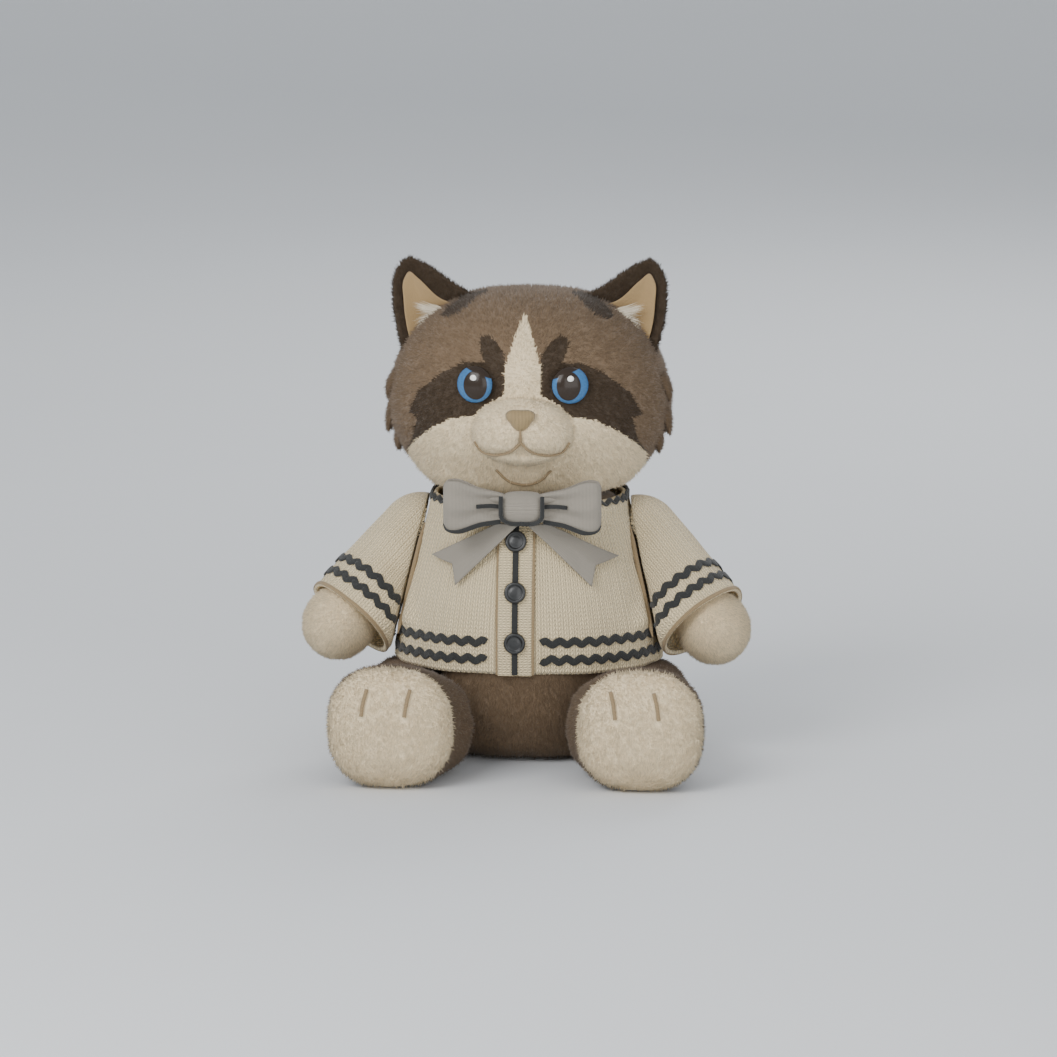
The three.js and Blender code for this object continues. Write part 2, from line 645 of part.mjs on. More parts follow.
// One thickness of cloth over the torso between two distances from its cover, clear of the turning head.
const cloth = (from, thickness) => {
  const inner = clothForm(from).add(box([-FAR / 4, -FAR / 4, -1], [FAR / 4, FAR / 4, hemHeight]));
  return clothForm(from + thickness).subtract(inner).subtract(headRoom);
};
const neckOpening = bar(neckHole.radius, torso.height - neckHole.depth, FAR, new THREE.Vector3(), Z, 32);
const bodyCloth = cloth(gap, knit).subtract(neckOpening).subtract(armholes);
const half = gap / 2;
const fronts = bodyCloth.intersect(box([-FAR, -FAR, -FAR], [FAR, sideSeamY - half, FAR]));
const behindSeam = box([-FAR, sideSeamY + half, -FAR], [FAR, FAR, FAR]);
const leftOfBand = box([buttonBand.middle + half, -FAR, -FAR], [FAR, FAR, FAR]);
const rightOfBand = box([-FAR, -FAR, -FAR], [buttonBand.middle - half, FAR, FAR]);
add(cat, "cardigan_back", bodyCloth.intersect(behindSeam), "cream");
add(cat, "cardigan_front_left", fronts.intersect(leftOfBand), "cream");
add(cat, "cardigan_front_right", fronts.intersect(rightOfBand), "cream");

const overKnit = gap + knit + gap;
function strip(width, from, thickness, low, high) {
  const left = buttonBand.middle + width / 2;
  const right = buttonBand.middle - width / 2;
  return cloth(from, thickness).intersect(box([right, -FAR, low], [left, 0, high]));
}
const bandTop = torso.height - buttonBand.drop;
const cordTop = torso.height - cordDrop;
add(cat, "button_band", strip(buttonBand.width, overKnit, band, hemHeight, bandTop), "cream");
const overBand = overKnit + band + gap;
add(cat, "front_cord", strip(centreCord, overBand, braid, hemHeight + gap, cordTop), "black");

// Hem braid stops at each edge of the button band. Collar braid runs all round under the head.
function hoop(low, width) {
  const slab = box([-FAR, -FAR, low], [FAR, FAR, low + width]);
  return cloth(overKnit, braid).subtract(armholes).intersect(slab);
}
const bandRoom = box(
  [buttonBand.middle - buttonBand.width / 2 - gap, -FAR, -FAR],
  [buttonBand.middle + buttonBand.width / 2 + gap, 0, FAR],
);
const lowerTrim = hemHeight + hemToTrim - trimWidth / 2;
const collarHoop = hoop(torso.height - collarTrim.drop, collarTrim.width);
add(cat, "hem_trim_lower", hoop(lowerTrim, trimWidth).subtract(bandRoom), "black");
add(cat, "hem_trim_upper", hoop(lowerTrim + trimPitch, trimWidth).subtract(bandRoom), "black");
add(cat, "collar_trim", collarHoop.subtract(bandRoom), "black");

const bodyLevels = (grow) => levelsOf(torso, torsoLevels, 0, grow);
const buttonBack = overBand + braid + gap;
const leanStep = 5; // over which the front's slope is read
["bottom", "middle", "top"].forEach((name, i) => {
  const z = button.lowest + i * button.pitch;
  const y = frontOf(bodyLevels(buttonBack), buttonBand.middle, z);
  const lean = frontOf(bodyLevels(buttonBack), buttonBand.middle, z + leanStep) - y;
  const way = new THREE.Vector3(0, -1, lean / leanStep).normalize();
  const point = new THREE.Vector3(buttonBand.middle, y, z);
  const { radius, depth } = button;
  const edge = [[radius * 0.8, gap], [radius, depth * 0.4], [radius * 0.9, depth * 0.9]];
  add(cat, `button_${name}`, turned([[0, gap], ...edge, [0, depth]], point, way, 20), "black", 0.35);
});

// ---- Bow ----
const bowBack = frontOf(bodyLevels(buttonBack), 0, bow.height - bowLoop.outerHeight / 2);
const bowY = bowBack - bow.standOff;
const tailBack = buttonBack + bowTail.standOff;
const bodyRoom = clothForm(tailBack + bowTail.thickness + gap);
function bowLoopShape() {
  const start = bowKnot.width / 2 + gap;
  const ring = (x, height, depth, lift) =>
    Array.from({ length: 12 }, (_, i) => {
      const turn = (2 * Math.PI * i) / 12;
      const [c, s] = [power(Math.cos(turn), 0.7), power(Math.sin(turn), 0.7)];
      return new THREE.Vector3(x, bowY + (depth / 2) * c, bow.height + lift + (height / 2) * s);
    });
  const span = bow.halfWidth - start;
  return loft([
    ring(start, bowLoop.innerHeight * 0.8, bow.depth * 0.6, 0),
    ring(start + span * 0.4, bowLoop.innerHeight * 1.25, bow.depth, 1),
    ring(start + span * 0.85, bowLoop.outerHeight, bow.depth, 2),
    ring(bow.halfWidth, bowLoop.outerHeight * 0.88, bow.depth * 0.4, 2),
  ]).translate([bow.middle, 0, 0]);
}
const bowLoopSolid = bowLoopShape().subtract(headRoom).subtract(bodyRoom);
const bowLoopOther = bowLoopShape().mirror([1, 0, 0]).translate([2 * bow.middle, 0, 0]);
add(cat, "bow_loop_left", bowLoopSolid, "grey");
add(cat, "bow_loop_right", bowLoopOther.subtract(headRoom).subtract(bodyRoom), "grey");
const knotDepth = bow.depth + bowKnot.proud;
const [kx, kz] = [bowKnot.width / 2, bowKnot.height / 2];
const { corner, taper } = bowKnot;
const knotProfile = new THREE.Shape();
knotProfile.moveTo(-kx, -kz + corner);
knotProfile.quadraticCurveTo(-kx, -kz, -kx + corner, -kz);
knotProfile.lineTo(kx - corner, -kz);
knotProfile.quadraticCurveTo(kx, -kz, kx, -kz + corner);
knotProfile.lineTo(kx - taper, kz);
knotProfile.lineTo(-kx + taper, kz);
const knotPlate = plate(knotProfile, bowY - knotDepth / 2, bowY + knotDepth / 2);
const knot = knotPlate.translate([bow.middle, 0, bow.height]);
add(cat, "bow_knot", knot.subtract(headRoom).subtract(bodyRoom), "grey");

const tailStart = bow.height - bowKnot.height / 2 - gap;
const bowTailEnd = bowTailTip.map(([share, z]) => [share * torso.halfWidth, z]);
const bowTailCorners = [...bowTailRow, ...bowTailEnd];
const tailOutline = outlineOf(bowTailCorners.map(([x, z]) => [x, tailStart + z]));
const tailPlate = plate(tailOutline, -FAR, 0);
const tailPlateLeft = tailPlate.translate([bow.middle, 0, 0]);
const tailPlateRight = mirror(tailPlate).translate([bow.middle, 0, 0]);
const tailCloth = clothForm(tailBack + bowTail.thickness).subtract(clothForm(tailBack));
add(cat, "bow_tail_left", tailCloth.intersect(tailPlateLeft), "grey");
add(cat, "bow_tail_right", tailCloth.intersect(tailPlateRight), "grey");

// ---- Tail: a bent stuffed tube that lies behind the seat ----
const backOf = (z) => {
  const levels = bodyLevels(0);
  const i = levels.findIndex((level) => level.z >= z);
  const [low, high] = [levels[i - 1], levels[i]];
  return THREE.MathUtils.lerp(low.back, high.back, (z - low.z) / (high.z - low.z));
};
const tailRootY = backOf(2 * tail.height) + tail.radius + 2 * gap;
const tailPath = new THREE.CatmullRomCurve3([
  new THREE.Vector3(0, tailRootY, tail.height),
  new THREE.Vector3(tail.sweep * 0.06, tailRootY + tail.reach * 0.45, tail.height),
  new THREE.Vector3(tail.sweep * 0.45, tailRootY + tail.reach * 0.86, tail.height),
  new THREE.Vector3(tail.sweep, tailRootY + tail.reach, tail.height),
]);
const tailRoot = tailPath.getPoint(0);

// A ring of the tail at a point, and the two rings that round off an end.
function tailRing(point, way, radius) {
  const across = new THREE.Vector3().crossVectors(Z, way).normalize();
  return Array.from({ length: roundSegments }, (_, i) => {
    const turn = (2 * Math.PI * i) / roundSegments;
    const side = across.clone().multiplyScalar(radius * Math.cos(turn));
    return side.addScaledVector(Z, radius * Math.sin(turn)).add(point);
  });
}

function tailEnd(share, way, radius) {
  const rings = [45, 80].map((degrees) => {
    const turn = THREE.MathUtils.degToRad(degrees);
    const point = tailPath.getPoint(share).addScaledVector(way, radius * Math.sin(turn));
    return tailRing(point, tailPath.getTangent(share), radius * Math.cos(turn));
  });
  return share === 0 ? rings.reverse() : rings;
}

const tailSteps = 5;
function tailForm(grow) {
  const radius = tail.radius + grow;
  const middle = Array.from({ length: tailSteps + 1 }, (_, i) => {
    const share = i / tailSteps;
    return tailRing(tailPath.getPoint(share), tailPath.getTangent(share), radius);
  });
  const rootWay = tailPath.getTangent(0).negate();
  const tipWay = tailPath.getTangent(1);
  return loft([...tailEnd(0, rootWay, radius), ...middle, ...tailEnd(1, tipWay, radius)]);
}
const tailMouth = bar(tail.radius * 0.45, -FAR / 8, 0, tailRoot, Y);
add(cat, "tail_cover", tailForm(0).subtract(tailForm(-plush)).subtract(tailMouth), "dark");
add(cat, "tail_stuffing", tailForm(-plush - gap), "fill");

export default cat;
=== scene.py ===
"""Looks of a sitting plush cat in a knitted cardigan and bow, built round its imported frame.

The cat faces -Y, its left side is +X and the seat is at z = 0. Every length is in metres.
"""

import logging
import math
from dataclasses import dataclass, field
from enum import Enum

import bmesh
import bpy
import numpy as np
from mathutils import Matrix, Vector
from mathutils.bvhtree import BVHTree


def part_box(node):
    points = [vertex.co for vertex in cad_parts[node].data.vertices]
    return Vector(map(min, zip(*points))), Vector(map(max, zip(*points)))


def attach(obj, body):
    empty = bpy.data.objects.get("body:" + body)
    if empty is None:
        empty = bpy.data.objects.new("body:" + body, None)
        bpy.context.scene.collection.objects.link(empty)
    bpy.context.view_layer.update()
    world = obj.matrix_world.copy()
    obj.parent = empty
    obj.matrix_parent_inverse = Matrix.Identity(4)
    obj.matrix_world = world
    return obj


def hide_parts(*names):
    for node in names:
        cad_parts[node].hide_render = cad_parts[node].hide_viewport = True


Array = np.ndarray
Colour = tuple[float, float, float]
MM = 0.001
log = logging.getLogger("plush_cat")

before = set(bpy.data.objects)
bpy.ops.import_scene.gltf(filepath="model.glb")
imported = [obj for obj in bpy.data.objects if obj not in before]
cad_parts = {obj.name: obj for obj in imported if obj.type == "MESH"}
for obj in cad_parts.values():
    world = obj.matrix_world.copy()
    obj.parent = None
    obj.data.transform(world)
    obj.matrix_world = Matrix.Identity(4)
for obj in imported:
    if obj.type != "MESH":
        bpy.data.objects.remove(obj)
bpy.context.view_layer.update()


class Side(Enum):
    """The cat's own left is +X and its right is -X."""

    LEFT = 1
    RIGHT = -1

    @property
    def word(self) -> str:
        """The side's name as the frame's nodes and bodies spell it."""
        return self.name.lower()


# ---------------------------------------------------------------- numbers and curves


def rgb(red: int, green: int, blue: int) -> Colour:
    """Turns a 0 to 255 display colour into linear light.

    Args:
        red: Red, 0 to 255.
        green: Green, 0 to 255.
        blue: Blue, 0 to 255.

    Returns:
        The colour in linear light.
    """
    share = np.array([red, green, blue]) / 255
    light = np.where(share <= 0.04045, share / 12.92, ((share + 0.055) / 1.055) ** 2.4)
    return tuple(float(value) for value in light)


def unit(vectors: Array) -> Array:
    """Scales each row to length one."""
    length = np.linalg.norm(vectors, axis=-1, keepdims=True)
    return vectors / np.maximum(length, 1e-12)


def smooth_through(keys: list[tuple[float, ...]], at: Array) -> Array:
    """Runs a cubic Hermite curve through keys, its slope at each key the central difference.

    Args:
        keys: Rows of a rising parameter and the values there.
        at: Parameters to read the curve at.

    Returns:
        The values at each parameter, one column for each value of a key.
    """
    rows = np.asarray(keys, float)
    x, y = rows[:, 0], rows[:, 1:]
    slope = np.gradient(y, x, axis=0)
    i = np.clip(np.searchsorted(x, at) - 1, 0, len(x) - 2)
    width = (x[i + 1] - x[i])[..., None]
    t = np.clip((np.asarray(at) - x[i])[..., None] / width, 0, 1)
    rise = (2 * t**3 - 3 * t**2 + 1) * y[i] + (3 * t**2 - 2 * t**3) * y[i + 1]
    return rise + width * ((t**3 - 2 * t**2 + t) * slope[i] + (t**3 - t**2) * slope[i + 1])


def curve_through(points: list[tuple[float, ...]], count: int) -> Array:
    """Spreads count points evenly by chord length along a smooth curve through a few points."""
    rows = np.asarray(points, float)
    steps = np.linalg.norm(np.diff(rows, axis=0), axis=1)
    along = np.concatenate([[0], np.cumsum(steps)])
    keys = np.column_stack([along, rows])
    return smooth_through(keys.tolist(), np.linspace(0, along[-1], count))


def signed_power(value: Array, exponent: float) -> Array:
    """Raises the size of each value to a power and keeps its sign."""
    return np.sign(value) * np.abs(value) ** exponent


def soft_floor(value: Array, low: float, width: float) -> Array:
    """Keeps values above low with a rounded corner: low + width * log(1 + exp((value - low) / width))."""
    return low + width * np.logaddexp(0, (value - low) / width)


def within_band(value: Array, half: float, soft: float) -> Array:
    """1 within a half-width of nought and 0 beyond it, with a soft edge."""
    return 1 / (1 + np.exp(np.clip((np.abs(value) - half) / (soft / 4), -40, 40)))


def arc_length(path: Array) -> Array:
    """The distance along a path at each of its points."""
    steps = np.linalg.norm(np.diff(path, axis=0), axis=1)
    return np.concatenate([[0], np.cumsum(steps)])


def within(outline: Array, points: Array) -> Array:
    """Says which points lie within a closed outline, by counting the edges that a ray to the right crosses.

    Args:
        outline: Corners, one row each.
        points: Points in the same plane, one row each.

    Returns:
        True for each point inside.
    """
    a, b = outline, np.roll(outline, -1, axis=0)
    x, y = points[:, :1], points[:, 1:]
    spans = (a[:, 1] > y) != (b[:, 1] > y)
    rise = np.where(b[:, 1] == a[:, 1], 1e-12, b[:, 1] - a[:, 1])
    crossing = a[:, 0] + (y - a[:, 1]) * (b[:, 0] - a[:, 0]) / rise
    return (spans & (x < crossing)).sum(axis=1) % 2 == 1


def nearness(points: Array, path: Array) -> Array:
    """The distance from each point to the nearest point of a path."""
    gaps = points[:, None, :] - path[None, :, :]
    return np.sqrt((gaps**2).sum(axis=2).min(axis=1))


# ---------------------------------------------------------------- meshes


def new_object(name: str, mesh: bpy.types.Mesh) -> bpy.types.Object:
    """Puts a mesh into the scene as an object at the origin."""
    piece = bpy.data.objects.new(name, mesh)
    bpy.context.scene.collection.objects.link(piece)
    return piece


def weld(mesh: bpy.types.Mesh, outward: bool) -> None:
    """Merges points that coincide and, on a closed shape, turns every face outwards."""
    work = bmesh.new()
    work.from_mesh(mesh)
    bmesh.ops.remove_doubles(work, verts=work.verts, dist=1e-6)
    bmesh.ops.dissolve_degenerate(work, edges=work.edges, dist=1e-7)
    if outward:
        bmesh.ops.recalc_face_normals(work, faces=work.faces)
    work.to_mesh(mesh)
    work.free()


def surface(
    name: str, points: Array, uv: Array | None = None, away: Array | None = None
) -> bpy.types.Object:
    """Makes an object from a grid of points whose seams and poles are given twice and then merged.

    Args:
        name: The piece's name.
        points: Rows by columns of places.
        uv: Rows by columns of texture places, or None.
        away: A point that the faces of an open sheet turn away from. None means a closed shape.

    Returns:
        The object, shaded smooth.
    """
    rows, columns = points.shape[:2]
    index = np.arange(rows * columns).reshape(rows, columns)
    corners = [index[:-1, :-1], index[:-1, 1:], index[1:, 1:], index[1:, :-1]]
    quads = np.stack(corners, axis=-1).reshape(-1, 4)
    flat = points.reshape(-1, 3)
    if away is not None:
        a, b, d = flat[quads[:, 0]], flat[quads[:, 1]], flat[quads[:, 3]]
        facing = (np.cross(b - a, d - a) * (a - np.asarray(away))).sum()
        quads = quads if facing > 0 else quads[:, ::-1]
    mesh = bpy.data.meshes.new(name)
    mesh.from_pydata(flat.tolist(), [], quads.tolist())
    if uv is not None:
        layer = mesh.uv_layers.new(name="cloth")
        layer.data.foreach_set("uv", uv.reshape(-1, 2)[quads.ravel()].astype(np.float32).ravel())
    weld(mesh, outward=away is None)
    mesh.shade_smooth()
    return new_object(name, mesh)


def carried(
    name: str, path: Array, normals: Array, profile: Array, ring: bool = False, scale: Array | None = None
) -> bpy.types.Object:
    """Carries a closed profile along a path. Across is tangent x normal, up is the normal.

    Args:
        name: The piece's name.
        path: Places along the path.
        normals: The up direction at each place.
        profile: Rows of (across, up) round the profile, the last row equal to the first.
        ring: True if the path closes on itself. Otherwise each end is closed to a point.
        scale: The profile's size at each place, or None for the same size throughout.

    Returns:
        A closed object with its cloth map in metres, along and round.
    """
    along = np.gradient(path, axis=0)
    if ring:
        along[0] = along[-1] = path[1] - path[-2]
    across = unit(np.cross(along, normals))
    up = unit(np.cross(across, along))
    size = np.ones(len(path)) if scale is None else scale
    shape = profile[None] * size[:, None, None]
    sweep = path[:, None] + across[:, None] * shape[..., :1] + up[:, None] * shape[..., 1:]
    length = arc_length(path)
    if not ring:
        ends = [np.repeat(path[i : i + 1, None], len(profile), axis=1) for i in (0, -1)]
        sweep = np.concatenate([ends[0], sweep, ends[1]])
        length = np.concatenate([length[:1], length, length[-1:]])
    uv = np.stack(np.broadcast_arrays(length[:, None], arc_length(profile)[None]), axis=-1)
    return surface(name, sweep, uv)


def oval(width: float, height: float, count: int = 10, power: float = 0.8) -> Array:
    """A rounded strip section, width across and height up, that sits on its path."""
    turn = np.linspace(0, 2 * math.pi, count + 1)
    across = width / 2 * signed_power(np.cos(turn), power)
    up = height / 2 * (1 + signed_power(np.sin(turn), power))
    return np.column_stack([across, up])


def applied(piece: bpy.types.Object) -> bpy.types.Object:
    """Turns what a piece's modifiers make into its own mesh."""
    graph = bpy.context.evaluated_depsgraph_get()
    made = bpy.data.meshes.new_from_object(piece.evaluated_get(graph))
    piece.modifiers.clear()
    piece.data = made
    return piece


def thicken(piece: bpy.types.Object, thickness: float) -> None:
    """Gives a sheet its thickness, inwards from the side that its faces look to."""
    wall = piece.modifiers.new("cloth thickness", "SOLIDIFY")
    wall.thickness = thickness
    wall.offset = -1
    wall.use_even_offset = False
    applied(piece)
    piece.data.shade_smooth()


def vertices_of(piece: bpy.types.Object) -> Array:
    """The places of a piece's points."""
    flat = np.empty(len(piece.data.vertices) * 3, np.float32)
    piece.data.vertices.foreach_get("co", flat)
    return flat.reshape(-1, 3).astype(float)


def move_vertices(piece: bpy.types.Object, places: Array) -> None:
    """Gives each point of a piece a new place."""
    piece.data.vertices.foreach_set("co", places.astype(np.float32).ravel())
    piece.data.update()


def normals_of(piece: bpy.types.Object) -> Array:
    """The outward direction at each of a piece's points."""
    flat = np.empty(len(piece.data.vertices) * 3, np.float32)
    piece.data.vertex_normals.foreach_get("vector", flat)
    return flat.reshape(-1, 3).astype(float)


def laid_on(skin: bpy.types.Object, path: Array, way: Array, lift: float) -> tuple[Array, Array]:
    """Drops a path's points onto a skin along a direction.

    Args:
        skin: The piece to lie on.
        path: Points in front of the skin.
        way: The direction to drop in.
        lift: How far to stand off the skin.

    Returns:
        The points on the skin and its outward direction at each.
    """
    tree = BVHTree.FromObject(skin, bpy.context.evaluated_depsgraph_get())
    hits = [tree.ray_cast(Vector(point), Vector(way)) for point in path]
    normals = np.array([hit[1] if hit[0] else -Vector(way) for hit in hits])
    places = np.array([hit[0] if hit[0] else Vector(point) for hit, point in zip(hits, path)])
    return places + lift * unit(normals), unit(normals)


# ---------------------------------------------------------------- shader parts


class Graph:
    """A short way to write a material's or a group's nodes."""

    def __init__(self, tree: bpy.types.NodeTree) -> None:
        """Keeps the tree that the nodes go into."""
        self.tree = tree

    def node(self, kind: str, **values: object) -> bpy.types.Node:
        """Adds a node and sets its properties."""
        made = self.tree.nodes.new(kind)
        for name, value in values.items():
            setattr(made, name, value)
        return made

    def put(self, socket: bpy.types.NodeSocket, value: object) -> None:
        """Links a socket to another one, or sets it to a number or a colour."""
        if isinstance(value, bpy.types.NodeSocket):
            self.tree.links.new(value, socket)
        elif isinstance(value, tuple) and len(value) == 3 and socket.type == "RGBA":
            socket.default_value = (*value, 1)
        else:
            socket.default_value = value

    def math(self, operation: str, *values: object) -> bpy.types.NodeSocket:
        """Adds a Math node of one, two or three values."""
        made = self.node("ShaderNodeMath", operation=operation)
        for socket, value in zip(made.inputs, values):
            self.put(socket, value)
        return made.outputs[0]

    def noise(self, place: bpy.types.NodeSocket, scale: object, detail: float = 2) -> bpy.types.NodeSocket:
        """Adds a Noise Texture read at a place."""
        made = self.node("ShaderNodeTexNoise")
        self.put(made.inputs["Vector"], place)
        self.put(made.inputs["Scale"], scale)
        self.put(made.inputs["Detail"], detail)
        return made.outputs["Fac"]

    def mix(self, share: object, first: object, second: object) -> bpy.types.NodeSocket:
        """Mixes two colours."""
        made = self.node("ShaderNodeMix", data_type="RGBA")
        self.put(made.inputs[0], share)
        self.put(made.inputs[6], first)
        self.put(made.inputs[7], second)
        return made.outputs[2]

    def bump(self, height: object, depth: float, strength: float = 1) -> bpy.types.NodeSocket:
        """Turns a height into a normal. Depth is the real height of a height of one."""
        made = self.node("ShaderNodeBump")
        self.put(made.inputs["Strength"], strength)
        self.put(made.inputs["Distance"], depth)
        self.put(made.inputs["Height"], height)
        return made.outputs[0]

    def group(self, tree: bpy.types.NodeTree, **values: object) -> dict[str, bpy.types.NodeSocket]:
        """Places a node group, with its inputs by name."""
        made = self.node("ShaderNodeGroup", node_tree=tree)
        for name, value in values.items():
            self.put(made.inputs[name], value)
        return {socket.name: socket for socket in made.outputs}


def new_group(name: str, inputs: dict[str, float | None], outputs: list[str]) -> tuple:
    """Starts a node group.

    Args:
        name: The group's name.
        inputs: Each input's usual value. None makes it a place.
        outputs: The names of the outputs, all of them numbers.

    Returns:
        The group, its graph, its input sockets by name and its output node.
    """
    tree = bpy.data.node_groups.new(name, "ShaderNodeTree")
    for word, value in inputs.items():
        kind = "NodeSocketVector" if value is None else "NodeSocketFloat"
        socket = tree.interface.new_socket(word, in_out="INPUT", socket_type=kind)
        if value is not None:
            socket.default_value = value
    for word in outputs:
        tree.interface.new_socket(word, in_out="OUTPUT", socket_type="NodeSocketFloat")
    start, end = tree.nodes.new("NodeGroupInput"), tree.nodes.new("NodeGroupOutput")
    return tree, Graph(tree), {socket.name: socket for socket in start.outputs}, end


def mottle_group() -> bpy.types.NodeTree:
    """Broad, soft patches and fine fibre specks, each from 0 to 1 about a half."""
    sockets = {"Place": None, "Broad": 30.0, "Fine": 900.0}
    tree, graph, given, end = new_group("mottle", sockets, ["Patch", "Speck"])
    graph.put(end.inputs["Patch"], graph.noise(given["Place"], given["Broad"], 3))
    graph.put(end.inputs["Speck"], graph.noise(given["Place"], given["Fine"], 2))
    return tree


def ribs_group() -> bpy.types.NodeTree:
    """Round ridges across a coordinate: the size of the sine of pi times coordinate over pitch."""
    tree, graph, given, end = new_group("ribs", {"Along": 0.0, "Pitch": 0.001}, ["Ridge"])
    turns = graph.math("DIVIDE", given["Along"], given["Pitch"])
    wave = graph.math("SINE", graph.math("MULTIPLY", turns, math.pi))
    graph.put(end.inputs["Ridge"], graph.math("POWER", graph.math("ABSOLUTE", wave), 0.7))
    return tree


def stitches_group() -> bpy.types.NodeTree:
    """Stocking stitch: columns of V shapes, each V two slanted, rounded loops.

    Across one column the height is a pair of arches, 1 - (4|c| - 1)^2 for c from -1/2 to 1/2. Up
    the column it is a sine wave whose phase falls with |c|, which slants the two loops into a V.
    """
    wants = {"Across": 0.0, "Up": 0.0, "Width": 0.004, "Height": 0.0034}
    tree, graph, given, end = new_group("stitches", wants, ["Loop", "Valley"])
    turns = graph.math("DIVIDE", given["Across"], given["Width"])
    column = graph.math("ABSOLUTE", graph.math("SUBTRACT", graph.math("FRACT", turns), 0.5))
    arm = graph.math("SUBTRACT", graph.math("MULTIPLY", column, 4), 1)
    arch = graph.math("SUBTRACT", 1, graph.math("MULTIPLY", arm, arm))
    rise = graph.math("DIVIDE", given["Up"], given["Height"])
    slant = graph.math("SUBTRACT", rise, graph.math("MULTIPLY", column, 1.7))
    wave = graph.math("SINE", graph.math("MULTIPLY", slant, 2 * math.pi))
    loop = graph.math("MULTIPLY", arch, graph.math("MULTIPLY_ADD", wave, 0.4, 0.6))
    graph.put(end.inputs["Loop"], loop)
    graph.put(end.inputs["Valley"], graph.math("SUBTRACT", 1, graph.math("MINIMUM", loop, 1)))
    return tree


# ---------------------------------------------------------------- finishes


def principled(name: str, roughness: float, sheen: float = 0.0, coat: float = 0.0) -> tuple:
    """Starts a material with one Principled shader.

    Args:
        name: The material's name.
        roughness: Roughness where nothing is linked.
        sheen: Sheen weight, for cloth.
        coat: Coat weight, for polished plastic.

    Returns:
        The material, its graph and its shader node.
    """
    material = bpy.data.materials.new(name)
    material.use_nodes = True
    shader = material.node_tree.nodes["Principled BSDF"]
    shader.inputs["Roughness"].default_value = roughness
    shader.inputs["Sheen Weight"].default_value = sheen
    shader.inputs["Sheen Roughness"].default_value = 0.5
    shader.inputs["Coat Weight"].default_value = coat
    shader.inputs["Coat Roughness"].default_value = 0.06
    return material, Graph(material.node_tree), shader


@dataclass(frozen=True)
class Fuzz:
    """Brushed cloth under or without a pile: mottled colour, fine fibre bump."""

    colour: Colour
    depth: float = 0.0006
    fine: float = 900.0

    def make(self, name: str, groups: dict[str, bpy.types.NodeTree]) -> bpy.types.Material:
        """Builds the material. Colour varies with broad patches and specks, read in object space."""
        material, graph, shader = principled(name, 0.95, sheen=0.25)
        place = graph.node("ShaderNodeTexCoord").outputs["Object"]
        spots = graph.group(groups["mottle"], Place=place, Broad=26.0, Fine=self.fine)
        dark = tuple(0.72 * value for value in self.colour)
        light = tuple(min(1.16 * value, 1) for value in self.colour)
        share = graph.math("MULTIPLY_ADD", spots["Patch"], 0.5, graph.math("MULTIPLY", spots["Speck"], 0.5))
        graph.put(shader.inputs["Base Color"], graph.mix(share, dark, light))
        graph.put(shader.inputs["Normal"], graph.bump(spots["Speck"], self.depth))
        return material


@dataclass(frozen=True)
class Strand:
    """One tone of pile."""

    colour: Colour

    def make(self, name: str) -> bpy.types.Material:
        """Builds a plain material, for the pile is its own pattern."""
        material, _, shader = principled(name, 0.85, sheen=0.12)
        shader.inputs["Base Color"].default_value = (*self.colour, 1)
        shader.inputs["Specular IOR Level"].default_value = 0.25
        return material


@dataclass(frozen=True)
class Knit:
    """Stocking-stitch wool on a cloth map in metres."""

    colour: Colour
    stitch: float = 0.0042
    row: float = 0.0034
    depth: float = 0.0011

    def make(self, name: str, groups: dict[str, bpy.types.NodeTree]) -> bpy.types.Material:
        """Builds the material: V loops raise the surface, painted shade darkens the valleys between them,
        and yarn fibres fleck it.
        """
        material, graph, shader = principled(name, 0.9, sheen=0.3)
        where = graph.node("ShaderNodeTexCoord")
        parts = graph.node("ShaderNodeSeparateXYZ")
        graph.put(parts.inputs[0], where.outputs["UV"])
        loops = graph.group(
            groups["stitches"],
            Across=parts.outputs["X"],
            Up=parts.outputs["Y"],
            Width=self.stitch,
            Height=self.row,
        )
        spots = graph.group(groups["mottle"], Place=where.outputs["Object"], Broad=22.0, Fine=1500.0)
        dark = tuple(0.50 * value for value in self.colour)
        light = tuple(min(1.08 * value, 1) for value in self.colour)
        # painted shade: the valleys between the stitch loops are darkened in the colour, towards half the
        # wool's colour
        valley_shade = graph.math("POWER", loops["Valley"], 1.6)
        drift = graph.math("MULTIPLY_ADD", spots["Patch"], 0.25, -0.12)
        fleck = graph.math("MULTIPLY_ADD", spots["Speck"], 0.35, -0.17)
        shade = graph.math("ADD", valley_shade, graph.math("ADD", drift, fleck))
        graph.put(shader.inputs["Base Color"], graph.mix(shade, light, dark))
        height = graph.math("MULTIPLY_ADD", spots["Speck"], 0.25, loops["Loop"])
        graph.put(shader.inputs["Normal"], graph.bump(height, self.depth))
        return material


